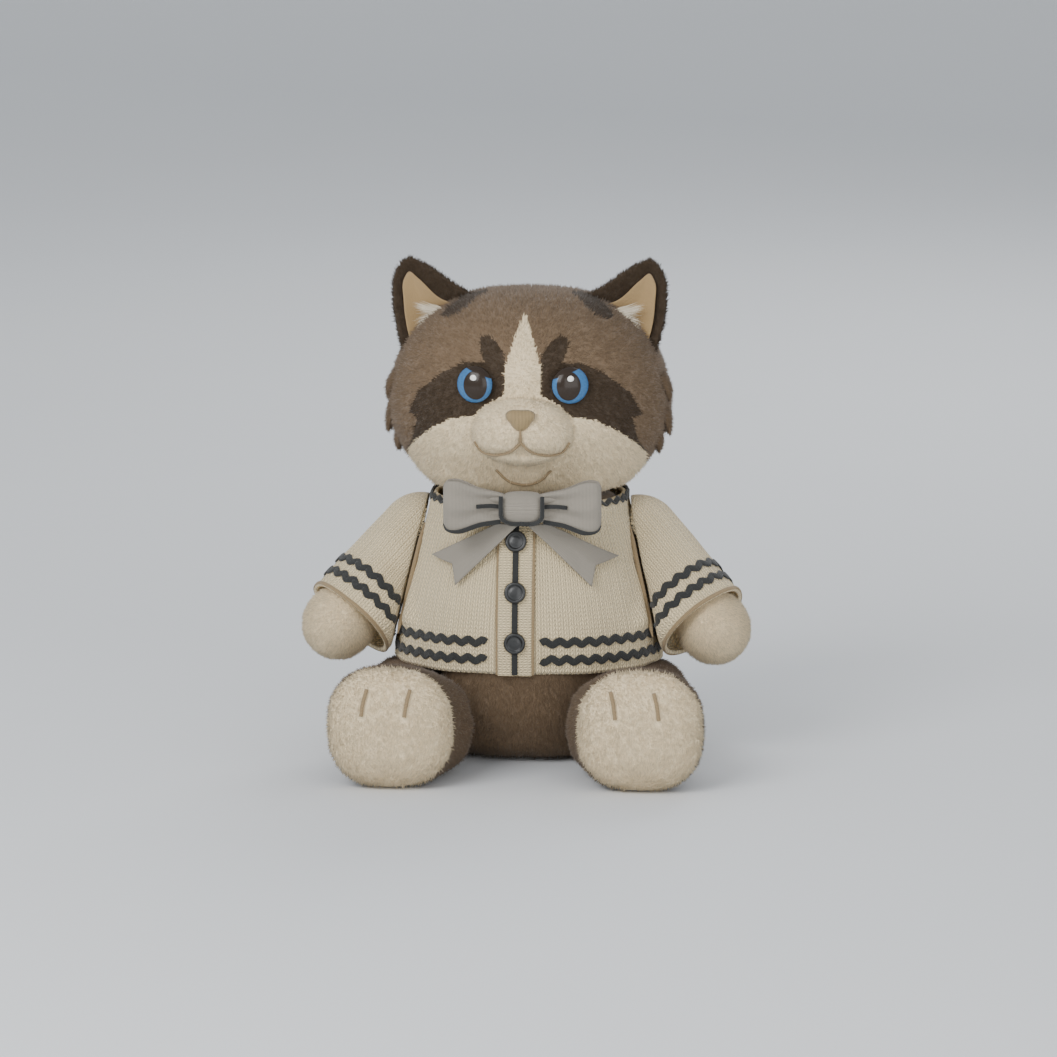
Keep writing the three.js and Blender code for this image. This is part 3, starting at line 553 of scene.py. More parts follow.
@dataclass(frozen=True)
class Ribbed:
    """Woven tape or thread with ridges across its length: grosgrain, braid or satin stitches."""

    colour: Colour
    pitch: float
    depth: float
    contrast: float = 0.6
    roughness: float = 0.8
    across: bool = False

    def make(self, name: str, groups: dict[str, bpy.types.NodeTree]) -> bpy.types.Material:
        """Builds the material: ridges at the pitch along the cloth map, with specks of fibre. The ridges are
        painted lighter and the grooves between them darker: painted highlight and shade.
        """
        material, graph, shader = principled(name, self.roughness, sheen=0.2)
        where = graph.node("ShaderNodeTexCoord")
        parts = graph.node("ShaderNodeSeparateXYZ")
        graph.put(parts.inputs[0], where.outputs["UV"])
        along = parts.outputs["Y" if self.across else "X"]
        ridge = graph.group(groups["ribs"], Along=along, Pitch=self.pitch)["Ridge"]
        spots = graph.group(groups["mottle"], Place=where.outputs["Object"], Broad=40.0, Fine=1800.0)
        dark = tuple(self.contrast * value for value in self.colour)
        light = tuple(min(1.12 * value, 1) for value in self.colour)
        # painted shade and highlight: the ridge wave lightens the ridges and darkens the grooves in the
        # colour; the specks are random fibre tone
        shade = graph.math("MULTIPLY_ADD", spots["Speck"], 0.4, graph.math("MULTIPLY_ADD", ridge, 0.8, -0.1))
        graph.put(shader.inputs["Base Color"], graph.mix(shade, dark, light))
        graph.put(shader.inputs["Normal"], graph.bump(ridge, self.depth))
        return material


@dataclass(frozen=True)
class Polished:
    """Moulded plastic with faint tumbling marks."""

    colour: Colour
    roughness: float = 0.22
    coat: float = 0.5

    def make(self, name: str, groups: dict[str, bpy.types.NodeTree]) -> bpy.types.Material:
        """Builds the material: roughness and tone drift a little over the surface."""
        material, graph, shader = principled(name, self.roughness, coat=self.coat)
        place = graph.node("ShaderNodeTexCoord").outputs["Object"]
        spots = graph.group(groups["mottle"], Place=place, Broad=120.0, Fine=2500.0)
        light = tuple(min(1.25 * value + 0.004, 1) for value in self.colour)
        graph.put(shader.inputs["Base Color"], graph.mix(spots["Patch"], self.colour, light))
        rough = graph.math("MULTIPLY_ADD", spots["Patch"], 0.16, self.roughness - 0.08)
        graph.put(shader.inputs["Roughness"], rough)
        graph.put(shader.inputs["Normal"], graph.bump(spots["Speck"], 0.00002))
        return material


@dataclass(frozen=True)
class Iris:
    """The eye's printed disc under clear plastic: a blue crescent round a dark pupil that sits high.

    On a disc map in eye radii, with x towards the nose, blue lies outside an upright oval and below
    a slanted line a x + b y = c, the lid, so that the crescent is open at the top.
    """

    blue: Colour
    dark: Colour
    wide: float = 0.635
    tall: float = 0.77
    shift: float = 0.165
    rise: float = -0.02
    lid: tuple[float, float, float] = (0.35, 0.94, 0.68)

    def make(self, name: str, side: Side) -> bpy.types.Material:
        """Builds the material for one eye. The crescent is thicker on the outer side."""
        material, graph, shader = principled(name, 0.2, coat=0.12)
        shader.inputs["Specular IOR Level"].default_value = 0.22
        where = graph.node("ShaderNodeTexCoord")
        parts = graph.node("ShaderNodeSeparateXYZ")
        graph.put(parts.inputs[0], where.outputs["UV"])
        x, y = graph.math("MULTIPLY", parts.outputs["X"], -side.value), parts.outputs["Y"]
        over = graph.math("DIVIDE", graph.math("SUBTRACT", x, self.shift), self.wide)
        up = graph.math("DIVIDE", graph.math("SUBTRACT", y, self.rise), self.tall)
        pupil = graph.math("SQRT", graph.math("MULTIPLY_ADD", over, over, graph.math("MULTIPLY", up, up)))
        slant = graph.math("MULTIPLY_ADD", x, self.lid[0], graph.math("MULTIPLY", y, self.lid[1]))
        past_pupil = graph.math("SUBTRACT", pupil, 1)
        inside = graph.math("MINIMUM", past_pupil, graph.math("SUBTRACT", self.lid[2], slant))
        edge = graph.math("MULTIPLY", inside, 22)
        share = graph.math("MINIMUM", graph.math("MAXIMUM", edge, 0), 1)
        fibres = graph.noise(where.outputs["UV"], 9.0, 4)
        deep = tuple(0.62 * value for value in self.blue)
        blue = graph.mix(fibres, deep, tuple(min(1.25 * value, 1) for value in self.blue))
        graph.put(shader.inputs["Base Color"], graph.mix(share, self.dark, blue))
        return material


class Tone(Enum):
    """The colours of the pile, as display colours."""

    BROWN = (120, 100, 78)
    DARK = (68, 55, 41)
    CREAM = (239, 219, 182)

    def shades(self) -> list[Colour]:
        """Four close shades of the tone, dark to light."""
        return [tuple(value * share for value in rgb(*self.value)) for share in (0.8, 0.94, 1.05, 1.16)]


class Wardrobe:
    """Every material of the cat, made once and shared."""

    def __init__(self) -> None:
        """Builds the node groups and the materials."""
        groups = {"mottle": mottle_group(), "ribs": ribs_group(), "stitches": stitches_group()}
        self.skin = {
            tone: Fuzz(rgb(*tone.value)).make(f"{tone.name.lower()} backing", groups) for tone in Tone
        }
        self.pile = {
            tone: [
                Strand(shade).make(f"{tone.name.lower()} pile {i}") for i, shade in enumerate(tone.shades())
            ]
            for tone in Tone
        }
        self.lining = Fuzz(rgb(166, 138, 96), depth=0.0005, fine=1400.0).make("ear lining", groups)
        pale = [(214, 202, 178), (232, 222, 203)]
        self.tuft = [Strand(rgb(*shade)).make(f"ear tuft {i}") for i, shade in enumerate(pale)]
        self.knit = Knit(rgb(247, 226, 182)).make("cream knit", groups)
        self.braid = Ribbed(rgb(42, 43, 42), 0.0011, 0.0003, roughness=0.9).make("black braid", groups)
        self.thread = Ribbed(rgb(150, 128, 94), 0.0011, 0.0003, contrast=0.62).make("tan thread", groups)
        satin = Ribbed(rgb(158, 135, 94), 0.0011, 0.0004, contrast=0.6, roughness=0.6)
        self.nose = satin.make("nose thread", groups)
        ribbon = Ribbed(rgb(142, 135, 123), 0.0011, 0.0002, contrast=0.74, roughness=0.7)
        self.ribbon = ribbon.make("grey ribbon", groups)
        self.button = Polished(rgb(26, 27, 27), 0.34, 0.2).make("button plastic", groups)
        self.joint = Polished(rgb(226, 226, 222), 0.45, 0.0).make("joint plastic", groups)
        # painted highlight: near-white plastic for the dot that stands for each eye's reflection
        self.glint = Polished(rgb(240, 236, 226), 0.2, 1.0).make("eye glint", groups)
        iris = Iris(rgb(66, 116, 166), rgb(50, 41, 34))
        self.eyes = {side: iris.make(f"{side.word} iris", side) for side in Side}


def dress(piece: bpy.types.Object, material: bpy.types.Material, body: str, slot: str, *nodes: str) -> None:
    """Gives a finished piece its material, its body and the frame nodes that it stands for."""
    piece.data.materials.clear()
    piece.data.materials.append(material)
    settle(piece, body, slot, *nodes)


def settle(piece: bpy.types.Object, body: str, slot: str, *nodes: str) -> None:
    """Hands a finished piece, with its materials, to the frame."""
    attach(piece, body)
    if nodes:
        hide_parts(*nodes)
    log.info("%s on %s, %d faces", piece.name, body, len(piece.data.polygons))


# ---------------------------------------------------------------- pile


@dataclass(frozen=True)
class Pile:
    """Short plush pile: closed four-faced spikes that stand on a skin and lean one way.

    A spike's foot is a small triangle sunk into the skin. Its tip lies along the skin's normal plus
    lean times the comb direction plus a random part.
    """

    count: int
    length: float = 0.0044
    width: float = 0.00095
    lean: float = 0.9
    ruffle: float = 0.4
    sink: float = 0.0006
    follow: float = 0.72
    seed: int = 5

    def grow(
        self,
        name: str,
        skin: bpy.types.Object,
        comb: object,
        tone_of: object,
        keep: object,
        wardrobe: Wardrobe,
    ) -> bpy.types.Object:
        """Grows the pile on a skin.

        Args:
            name: The pile's name.
            skin: The skin, its modifiers already applied.
            comb: Function of places and normals that gives the way the pile lies.
            tone_of: Function of places that gives each place's number in the list of tones.
            keep: Function of places that gives the share of pile kept there, 0 to 1.
            wardrobe: The materials.

        Returns:
            The pile, with four shades of each tone as its materials.
        """
        rng = np.random.default_rng(self.seed)
        mesh = skin.data
        mesh.calc_loop_triangles()
        corners = np.empty(len(mesh.loop_triangles) * 3, np.int32)
        mesh.loop_triangles.foreach_get("vertices", corners)
        corners = corners.reshape(-1, 3)
        places, normals = vertices_of(skin), normals_of(skin)
        a, b, c = (places[corners[:, i]] for i in range(3))
        share = np.linalg.norm(np.cross(b - a, c - a), axis=1) * keep((a + b + c) / 3)
        chosen = rng.choice(len(corners), self.count, p=share / share.sum())
        mix = rng.random((self.count, 2))
        mix = np.where(mix.sum(axis=1, keepdims=True) > 1, 1 - mix, mix)
        weights = np.column_stack([1 - mix.sum(axis=1), mix])
        root = (places[corners[chosen]] * weights[:, :, None]).sum(axis=1)
        normal = unit((normals[corners[chosen]] * weights[:, :, None]).sum(axis=1))
        lie = comb(root, normal)
        lie = unit(lie - (lie * normal).sum(axis=1, keepdims=True) * normal)
        scatter = rng.normal(0, self.ruffle, root.shape)
        way = unit(normal + self.lean * lie + scatter)
        length = self.length * rng.uniform(0.65, 1.25, (self.count, 1))
        side = unit(np.cross(way, rng.normal(size=root.shape)))
        other = np.cross(way, side)
        foot = root - self.sink * normal
        turns = np.arange(3) * 2 * math.pi / 3
        ring = [foot + self.width / 2 * (math.cos(t) * side + math.sin(t) * other) for t in turns]
        points = np.stack([*ring, foot + length * way], axis=1)
        faces = np.array([[0, 2, 1], [0, 1, 3], [1, 2, 3], [2, 0, 3]])
        faces = (np.arange(self.count)[:, None, None] * 4 + faces).reshape(-1, 3)
        pile = bpy.data.meshes.new(name)
        pile.from_pydata(points.reshape(-1, 3).tolist(), [], faces.tolist())
        for tone in Tone:
            for material in wardrobe.pile[tone]:
                pile.materials.append(material)
        shade = rng.choice(4, self.count, p=[0.2, 0.35, 0.3, 0.15])
        number = np.repeat(tone_of(root) * 4 + shade, 4)
        pile.polygons.foreach_set("material_index", number.astype(np.int32))
        pile.shade_smooth()
        lit = unit(self.follow * normal[:, None] + (1 - self.follow) * unit(points - foot[:, None]))
        pile.normals_split_custom_set_from_vertices(lit.reshape(-1, 3).tolist())
        return new_object(name, pile)


def one_tone(tone: Tone) -> object:
    """A function that gives every place the same tone."""
    number = list(Tone).index(tone)
    return lambda places: np.full(len(places), number)


def everywhere(places: Array) -> Array:
    """Keeps the whole pile."""
    return np.ones(len(places))


def combed(*way: float) -> object:
    """A comb that draws the pile one way over the whole skin."""
    return lambda places, normals: np.broadcast_to(np.array(way, float), places.shape)


# ---------------------------------------------------------------- stuffed pieces


@dataclass
class Stuffed:
    """A stuffed cover: a form remeshed, eased and blown up by cloth simulation with inner pressure."""

    voxel: float = 0.005
    cover: float = 0.0030
    rounds: int = 6
    pressure: float = 4.0
    cap: float = 0.003
    frames: int = 20

    def from_filling(self, name: str, node: str) -> bpy.types.Object:
        """Makes the cover of one of the frame's fillings, grown to the outside of its cover.

        Args:
            name: The piece's name.
            node: The frame node of the filling.

        Returns:
            The cover as one closed skin.
        """
        piece = new_object(name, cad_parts[node].data.copy())
        piece.data.materials.clear()
        weld(piece.data, outward=False)
        self.even(piece)
        move_vertices(piece, vertices_of(piece) + self.cover * normals_of(piece))
        return self.finish(piece)

    def from_form(self, piece: bpy.types.Object) -> bpy.types.Object:
        """Makes the cover from a closed surface that already has its outside."""
        self.even(piece)
        return self.finish(piece)

    def even(self, piece: bpy.types.Object) -> None:
        """Gives a piece an even mesh of the voxel size and eases its edges."""
        grid = piece.modifiers.new("even mesh", "REMESH")
        grid.mode = "VOXEL"
        grid.voxel_size = self.voxel
        ease = piece.modifiers.new("ease", "SMOOTH")
        ease.factor = 0.5
        ease.iterations = self.rounds
        applied(piece)

    def finish(self, piece: bpy.types.Object) -> bpy.types.Object:
        """Blows the cover up and subdivides it once."""
        self.blow_up(piece)
        detail = piece.modifiers.new("fine mesh", "SUBSURF")
        detail.levels = detail.render_levels = 1
        applied(piece)
        piece.data.shade_smooth()
        return piece

    def blow_up(self, piece: bpy.types.Object) -> None:
        """Runs Blender's cloth with inner pressure and no gravity, and caps how far any point moves."""
        start = vertices_of(piece)
        cloth = piece.modifiers.new("cloth", "CLOTH")
        cloth.settings.use_pressure = True
        cloth.settings.uniform_pressure_force = self.pressure
        cloth.settings.effector_weights.gravity = 0
        cloth.settings.quality = 5
        scene = bpy.context.scene
        for frame in range(1, self.frames + 1):
            scene.frame_set(frame)
        applied(piece)
        scene.frame_set(1)
        moved = vertices_of(piece) - start
        far = np.linalg.norm(moved, axis=1, keepdims=True)
        move_vertices(piece, start + moved * np.minimum(1, self.cap / np.maximum(far, 1e-9)))


# ---------------------------------------------------------------- torso


@dataclass
class RoundForm:
    """A stack of rounded levels: superellipses with their own half-width, front and back."""

    height: float
    half_width: float
    front: float
    back: float
    base: float
    levels: list[tuple[float, float, float]]
    roundness: float = 2.25

    def sizes(self, z: Array, grow: float | Array) -> tuple[Array, Array, Array]:
        """Half-width, front and back of the level at a height, grown outwards.

        Args:
            z: Heights above the floor.
            grow: How far outside the form.

        Returns:
            The half-width, the depth in front and the depth behind.
        """
        half = self.height / 2
        share = ((z - self.base - half) * half / (half + np.mean(grow)) + half) / self.height
        rows = smooth_through(self.levels, np.clip(share, 0, 1))
        wide, deep = rows[..., 0], rows[..., 1]
        return wide * self.half_width + grow, deep * self.front + grow, deep * self.back + grow

    def outline(self, turn: Array, wide: Array, front: Array, back: Array, z: Array) -> Array:
        """Places round a level: x = w |cos|^(2/n) and y = d |sin|^(2/n), turning from +X towards -Y."""
        c = signed_power(np.cos(turn), 2 / self.roundness)
        s = signed_power(np.sin(turn), 2 / self.roundness)
        return np.stack(np.broadcast_arrays(wide * c, -np.where(s > 0, front, back) * s, z), axis=-1)

    def closed(self, name: str, grow: float, rows: int = 60, columns: int = 96) -> bpy.types.Object:
        """The whole form as one closed surface, its levels spaced by their distance along the side.

        Args:
            name: The piece's name.
            grow: How far outside the form.
            rows: Levels from bottom to top.
            columns: Points round a level.

        Returns:
            The form's object.
        """
        table = np.array(self.levels)
        sides = np.column_stack(
            [table[:, 0] * self.height, table[:, 1] * self.half_width, table[:, 2] * self.front]
        )
        ends = [sides[0] * [1, 0, 0], sides[-1] * [1, 0, 0]]
        sides = np.concatenate([ends[:1], sides, ends[1:]])
        side = curve_through(sides.tolist(), rows)
        z, wide, deep = (side[:, i : i + 1] for i in range(3))
        near = np.minimum(1, np.maximum(wide, 0) / 0.02)
        wide = np.maximum(wide, 0) + grow * near
        front = np.maximum(deep, 0) + grow * near
        back = np.maximum(deep, 0) * self.back / self.front + grow * near
        middle = self.base + self.height / 2
        z = middle + (z - self.height / 2) * (1 + grow / (self.height / 2))
        turn = np.linspace(0, 2 * math.pi, columns + 1)[None, :]
        return surface(name, self.outline(turn, wide, front, back, z))

    def front_at(self, x: Array, z: Array, grow: float) -> Array:
        """The y of the front surface at a place."""
        wide, front, _ = self.sizes(np.asarray(z, float), grow)
        share = np.clip(np.abs(x) / wide, 0, 0.999) ** self.roundness
        return -front * (1 - share) ** (1 / self.roundness)


@dataclass
class TorsoForm(RoundForm):
    """The torso's outside, a pear of rounded levels, and the two flats beside the arms."""

    height: float = 0.209
    half_width: float = 0.106
    front: float = 0.096
    back: float = 0.078
    base: float = 0.0
    hem: float = 0.0775
    knit: float = 0.003
    gap: float = 0.0004
    braid: float = 0.0016
    shoulder: tuple[float, float, float] = (0.08707, 0.0, 0.172)
    tilt: float = math.radians(13)
    armhole: tuple[float, float, float] = (0.1952, -0.4975, -0.8452)
    levels: list[tuple[float, float, float]] = field(
        default_factory=lambda: [
            (0, 0.6, 0.62),
            (0.062, 0.8, 0.8),
            (0.176, 0.93, 0.92),
            (0.351, 1, 0.99),
            (0.486, 0.995, 1),
            (0.63, 0.935, 0.965),
            (0.775, 0.85, 0.88),
            (0.915, 0.75, 0.78),
            (0.975, 0.69, 0.71),
            (1, 0.56, 0.58),
        ]
    )

    def wrap(self, turn: Array, z: Array, grow: float | Array) -> Array:
        """Places on the outside: turn runs round from +X towards -Y.

        Near an armhole the cloth is drawn out to the flat beside the arm, and what is past the flat
        is drawn back to it with a rounded corner.

        Args:
            turn: Turns about the vertical.
            z: Heights above the floor.
            grow: How far outside the torso.

        Returns:
            The places.
        """
        places = self.outline(turn, *self.sizes(z, grow), z)
        reach = np.mean(grow) - (self.knit + 2 * self.gap + self.braid)
        for side in Side:
            normal = np.array([side.value * math.cos(self.tilt), 0, math.sin(self.tilt)])
            corner = np.array(self.shoulder) * [side.value, 1, 1]
            past = (places - corner) @ normal
            from_root = places - corner - past[..., None] * normal
            down = from_root @ (np.array(self.armhole) * [side.value, 1, 1])
            aside = np.sqrt(np.maximum((from_root**2).sum(axis=-1) - down**2, 0))
            near = within_band(aside, 0.027, 0.008) * within_band(down - 0.026, 0.058, 0.008)
            short = reach - past
            drawn = past + near * np.clip(np.minimum(short, 0.030 - short), 0, 0.015)
            held = -soft_floor(-drawn, -min(reach, 0), 0.0012)
            places = places + (held - past)[..., None] * normal
        return places

    def normals(self, turn: Array, z: Array, grow: float) -> Array:
        """Outward directions, from the cross product of the two tangents."""
        step = 1e-3
        round_way = self.wrap(turn + step, z, grow) - self.wrap(turn - step, z, grow)
        rise = self.wrap(turn, z + step, grow) - self.wrap(turn, z - step, grow)
        return unit(np.cross(rise, round_way))


FORM = TorsoForm()


@dataclass
class Torso:
    """The stuffed torso, whose brown pile shows below the cardigan."""

    pile: Pile = Pile(count=32000, seed=11)
    pile_top: float = 0.0765

    def build(self, wardrobe: Wardrobe) -> None:
        """Builds the cover and its pile."""
        cover = Stuffed(cap=0.0015).from_filling("torso_plush", "torso_stuffing")
        places = vertices_of(cover)
        places[:, 2] = np.maximum(places[:, 2], 0)
        move_vertices(cover, places)
        stands_for = ("torso_cover", "torso_stuffing", "pellet_bag")
        dress(cover, wardrobe.skin[Tone.BROWN], "torso", "brown_plush", *stands_for)

        def keep(at: Array) -> Array:
            """Pile up to the hem only, none under the seat, none beside the hip joints."""
            hip = (np.abs(at[:, 0]) > 0.058) & (at[:, 1] < 0.02) & (at[:, 1] > -0.06)
            return ((at[:, 2] < self.pile_top) & (at[:, 2] > 0.004) & ~hip).astype(float)

        pile = self.pile.grow("torso_pile", cover, combed(0, 0, -1), one_tone(Tone.BROWN), keep, wardrobe)
        settle(pile, "torso", "brown_plush")


# ---------------------------------------------------------------- cardigan


def slanting_wave(phase: Array) -> Array:
    """A sine flattened towards straight slants: the arcsine of 0.985 times the sine, from -1 to 1."""
    sharp = 0.985
    return np.arcsin(sharp * np.sin(phase)) / math.asin(sharp)


@dataclass
class Cardigan:
    """A cream knitted cardigan: back, two fronts, button band, tan seams and black zigzag braid."""

    thickness: float = 0.0028
    wale: float = 0.0036
    wale_rise: float = 0.0005
    step_up: float = 0.0028
    steps_in_wale: int = 6
    drape: float = 0.0016
    side_seam: float = math.radians(4)
    band_middle: float = -0.005
    band_width: float = 0.027
    band_rise: float = 0.0022
    cord_width: float = 0.0048
    cord_rise: float = 0.0018
    seam_width: float = 0.0036
    seam_rise: float = 0.0017
    band_top: float = 0.2005
    collar: float = 0.2082
    slope: float = 0.199
    collar_trim: float = 0.2063
    collar_trim_width: float = 0.0044
    trim: float = 0.0058
    trim_end: float = 0.0022
    trim_rise: float = 0.0017
    zigzag: float = 0.0019
    zigzag_length: float = 0.0116
    pitch: float = 0.014
    lowest: float = 0.0115
    button_radius: float = 0.0086

    def folds(self, turn: Array, z: Array | float) -> Array:
        """How far the soft folds stand out: they deepen towards the hem."""
        fall = (self.collar - z) / (self.collar - FORM.hem)
        return np.sin(turn * 9 + 1.3) * np.sin(turn * 4 - 0.4) * self.drape * fall**1.5

    def panel(self, name: str, start: float, end: float) -> bpy.types.Object:
        """One knitted panel between two turns.

        The panel is the torso's outside grown by the knit, with column ridges, |sin| of pi times
        the distance round over the column width, and with soft folds that deepen towards the hem.
        """
        around = FORM.wrap(np.linspace(start, end, 60), np.full(60, 0.12), 0.0034)
        width = arc_length(around)[-1]
        columns = int(width / self.wale) * self.steps_in_wale + 1
        rows = int((self.slope - FORM.hem) / self.step_up) + 1
        turn = np.linspace(start, end, columns)[None, :]
        side = np.linspace(FORM.hem, self.slope, rows)
        z = np.concatenate([side, np.linspace(self.slope, self.collar, 9)[1:]])[:, None]
        across = np.linspace(0, width, columns)[None, :]
        fold = self.folds(turn, z)
        ridge = self.wale_rise * np.abs(np.sin(math.pi * across / self.wale))
        edge = 0.0006 * np.exp(-(((z - FORM.hem - 0.002) / 0.002) ** 2))
        base = FORM.wrap(turn + 0 * z, z + 0 * turn, FORM.gap + FORM.knit)
        out = FORM.normals(turn + 0 * z, z + 0 * turn, FORM.gap + FORM.knit)
        places = base + out * (fold + ridge + edge)[..., None]
        uv = np.stack(np.broadcast_arrays(across, z - FORM.hem), axis=-1)
        made = surface(name, places, uv, away=np.array([0, 0, 0.12]))
        thicken(made, self.thickness)
        return made

    def zig_path(self, path: Array, across: Array) -> Array:
        """Moves a path from side to side in a zigzag."""
        turns = 2 * math.pi * arc_length(path) / self.zigzag_length
        return path + across * (self.zigzag * slanting_wave(turns))[:, None]

    def braid_round(self, name: str, z: float, start: float, end: float, width: float) -> bpy.types.Object:
        """A strip of zigzag braid round the cardigan at one height."""
        grow = FORM.gap + FORM.knit + self.wale_rise
        rough = FORM.wrap(np.linspace(start, end, 200), np.full(200, z), grow)
        count = int(arc_length(rough)[-1] / self.zigzag_length * 12)
        turn = np.linspace(start, end, count)
        level = np.full(count, z)
        normals = FORM.normals(turn, level, grow)
        fold = self.folds(turn, z)
        path = FORM.wrap(turn, level, grow) + normals * np.maximum(fold, -0.0005)[:, None]
        path = self.zig_path(path, np.array([[0.0, 0.0, 1.0]]))
        return carried(name, path, normals, oval(width, self.trim_rise))

    def strip_down(
        self, name: str, x: float, width: float, lift: float, rise: float, low: float, high: float
    ) -> bpy.types.Object:
        """A strip that runs down the front at one x."""
        z = np.linspace(high, low, int((high - low) / 0.003))
        path = np.column_stack([np.full(len(z), x), FORM.front_at(x, z, lift), z])
        slope = np.gradient(path[:, 1], z)
        normals = unit(np.column_stack([np.full(len(z), 0.0), -np.ones(len(z)), slope]))
        return carried(name, path, normals, oval(width, rise, 14, 0.45))

    def button(self, name: str, wardrobe: Wardrobe) -> None:
        """A domed button with a raised rim, turned about the band's own direction.

        Radius and rise follow a profile from the shank's side, over the rim, down to a shallow dish.
        """
        low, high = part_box(name)
        z = (low[2] + high[2]) / 2
        x = (low[0] + high[0]) / 2
        lift = 0.0066
        lean = (FORM.front_at(x, z + 0.005, lift) - FORM.front_at(x, z - 0.005, lift)) / 0.01
        way = unit(np.array([0, -1, float(lean)]))
        foot = np.array([x, float(FORM.front_at(x, z, lift)), z])
        r = self.button_radius
        keys = [(0, 0, 0), (1, 0.86 * r, 0), (2, r, 0.0016), (3, 0.93 * r, 0.0036), (4, 0.74 * r, 0.0038)]
        keys += [(5, 0.6 * r, 0.0030), (6, 0.3 * r, 0.0033), (7, 0, 0.0034)]
        profile = smooth_through(keys, np.linspace(0, 7, 43))
        turn = np.linspace(0, 2 * math.pi, 49)
        side = np.array([1.0, 0, 0])
        up = np.cross(side, way)
        ring = np.cos(turn)[:, None] * side + np.sin(turn)[:, None] * up
        places = foot + np.abs(profile[:, :1, None]) * ring[None] + profile[:, 1:, None] * way
        dress(surface(name + "_plastic", places), wardrobe.button, "torso", "button_plastic", name)

    def build(self, wardrobe: Wardrobe) -> None:
        """Builds and dresses the whole cardigan body."""
        middle = self.band_middle
        split = math.pi / 2 - middle / FORM.front
        side = self.side_seam
        panels = [
            ("cardigan_front_left", -side, split - 0.004),
            ("cardigan_front_right", split + 0.004, math.pi + side),
            ("cardigan_back", math.pi + side + 0.006, 2 * math.pi - side - 0.006),
        ]
        for node, start, end in panels:
            dress(self.panel(node + "_knit", start, end), wardrobe.knit, "torso", "cardigan_knit", node)
        knit_top = FORM.gap + FORM.knit + self.wale_rise
        low, high = FORM.hem - 0.0006, self.band_top
        band = self.strip_down(
            "button_band_knit", middle, self.band_width, knit_top, self.band_rise, low, high
        )
        dress(band, wardrobe.knit, "torso", "cardigan_knit", "button_band")
        low, high = FORM.hem + 0.0004, self.band_top - 0.005
        cord = self.strip_down(
            "front_cord_braid", middle, self.cord_width, knit_top + self.band_rise, self.cord_rise, low, high
        )
        dress(cord, wardrobe.braid, "torso", "black_braid", "front_cord")
        for word, x in (("right", middle - self.band_width / 2), ("left", middle + self.band_width / 2)):
            seam = self.strip_down(
                f"band_seam_{word}", x, self.seam_width, knit_top, self.seam_rise, FORM.hem, self.band_top
            )
            dress(seam, wardrobe.thread, "torso", "cardigan_knit")
        reach = (self.band_width / 2 + self.trim_end) / FORM.front
        start, end = split + reach, split - reach + 2 * math.pi
        for i, node in enumerate(("hem_trim_lower", "hem_trim_upper")):
            z = FORM.hem + self.lowest + i * self.pitch
            trim = self.braid_round(node + "_braid", z, start, end, self.trim)
            dress(trim, wardrobe.braid, "torso", "black_braid", node)
        collar = self.braid_round(
            "collar_trim_braid", self.collar_trim, start, end, self.collar_trim_width
        )
        dress(collar, wardrobe.braid, "torso", "black_braid", "collar_trim")
        for node in ("button_top", "button_middle", "button_bottom"):
            self.button(node, wardrobe)


# ---------------------------------------------------------------- bow


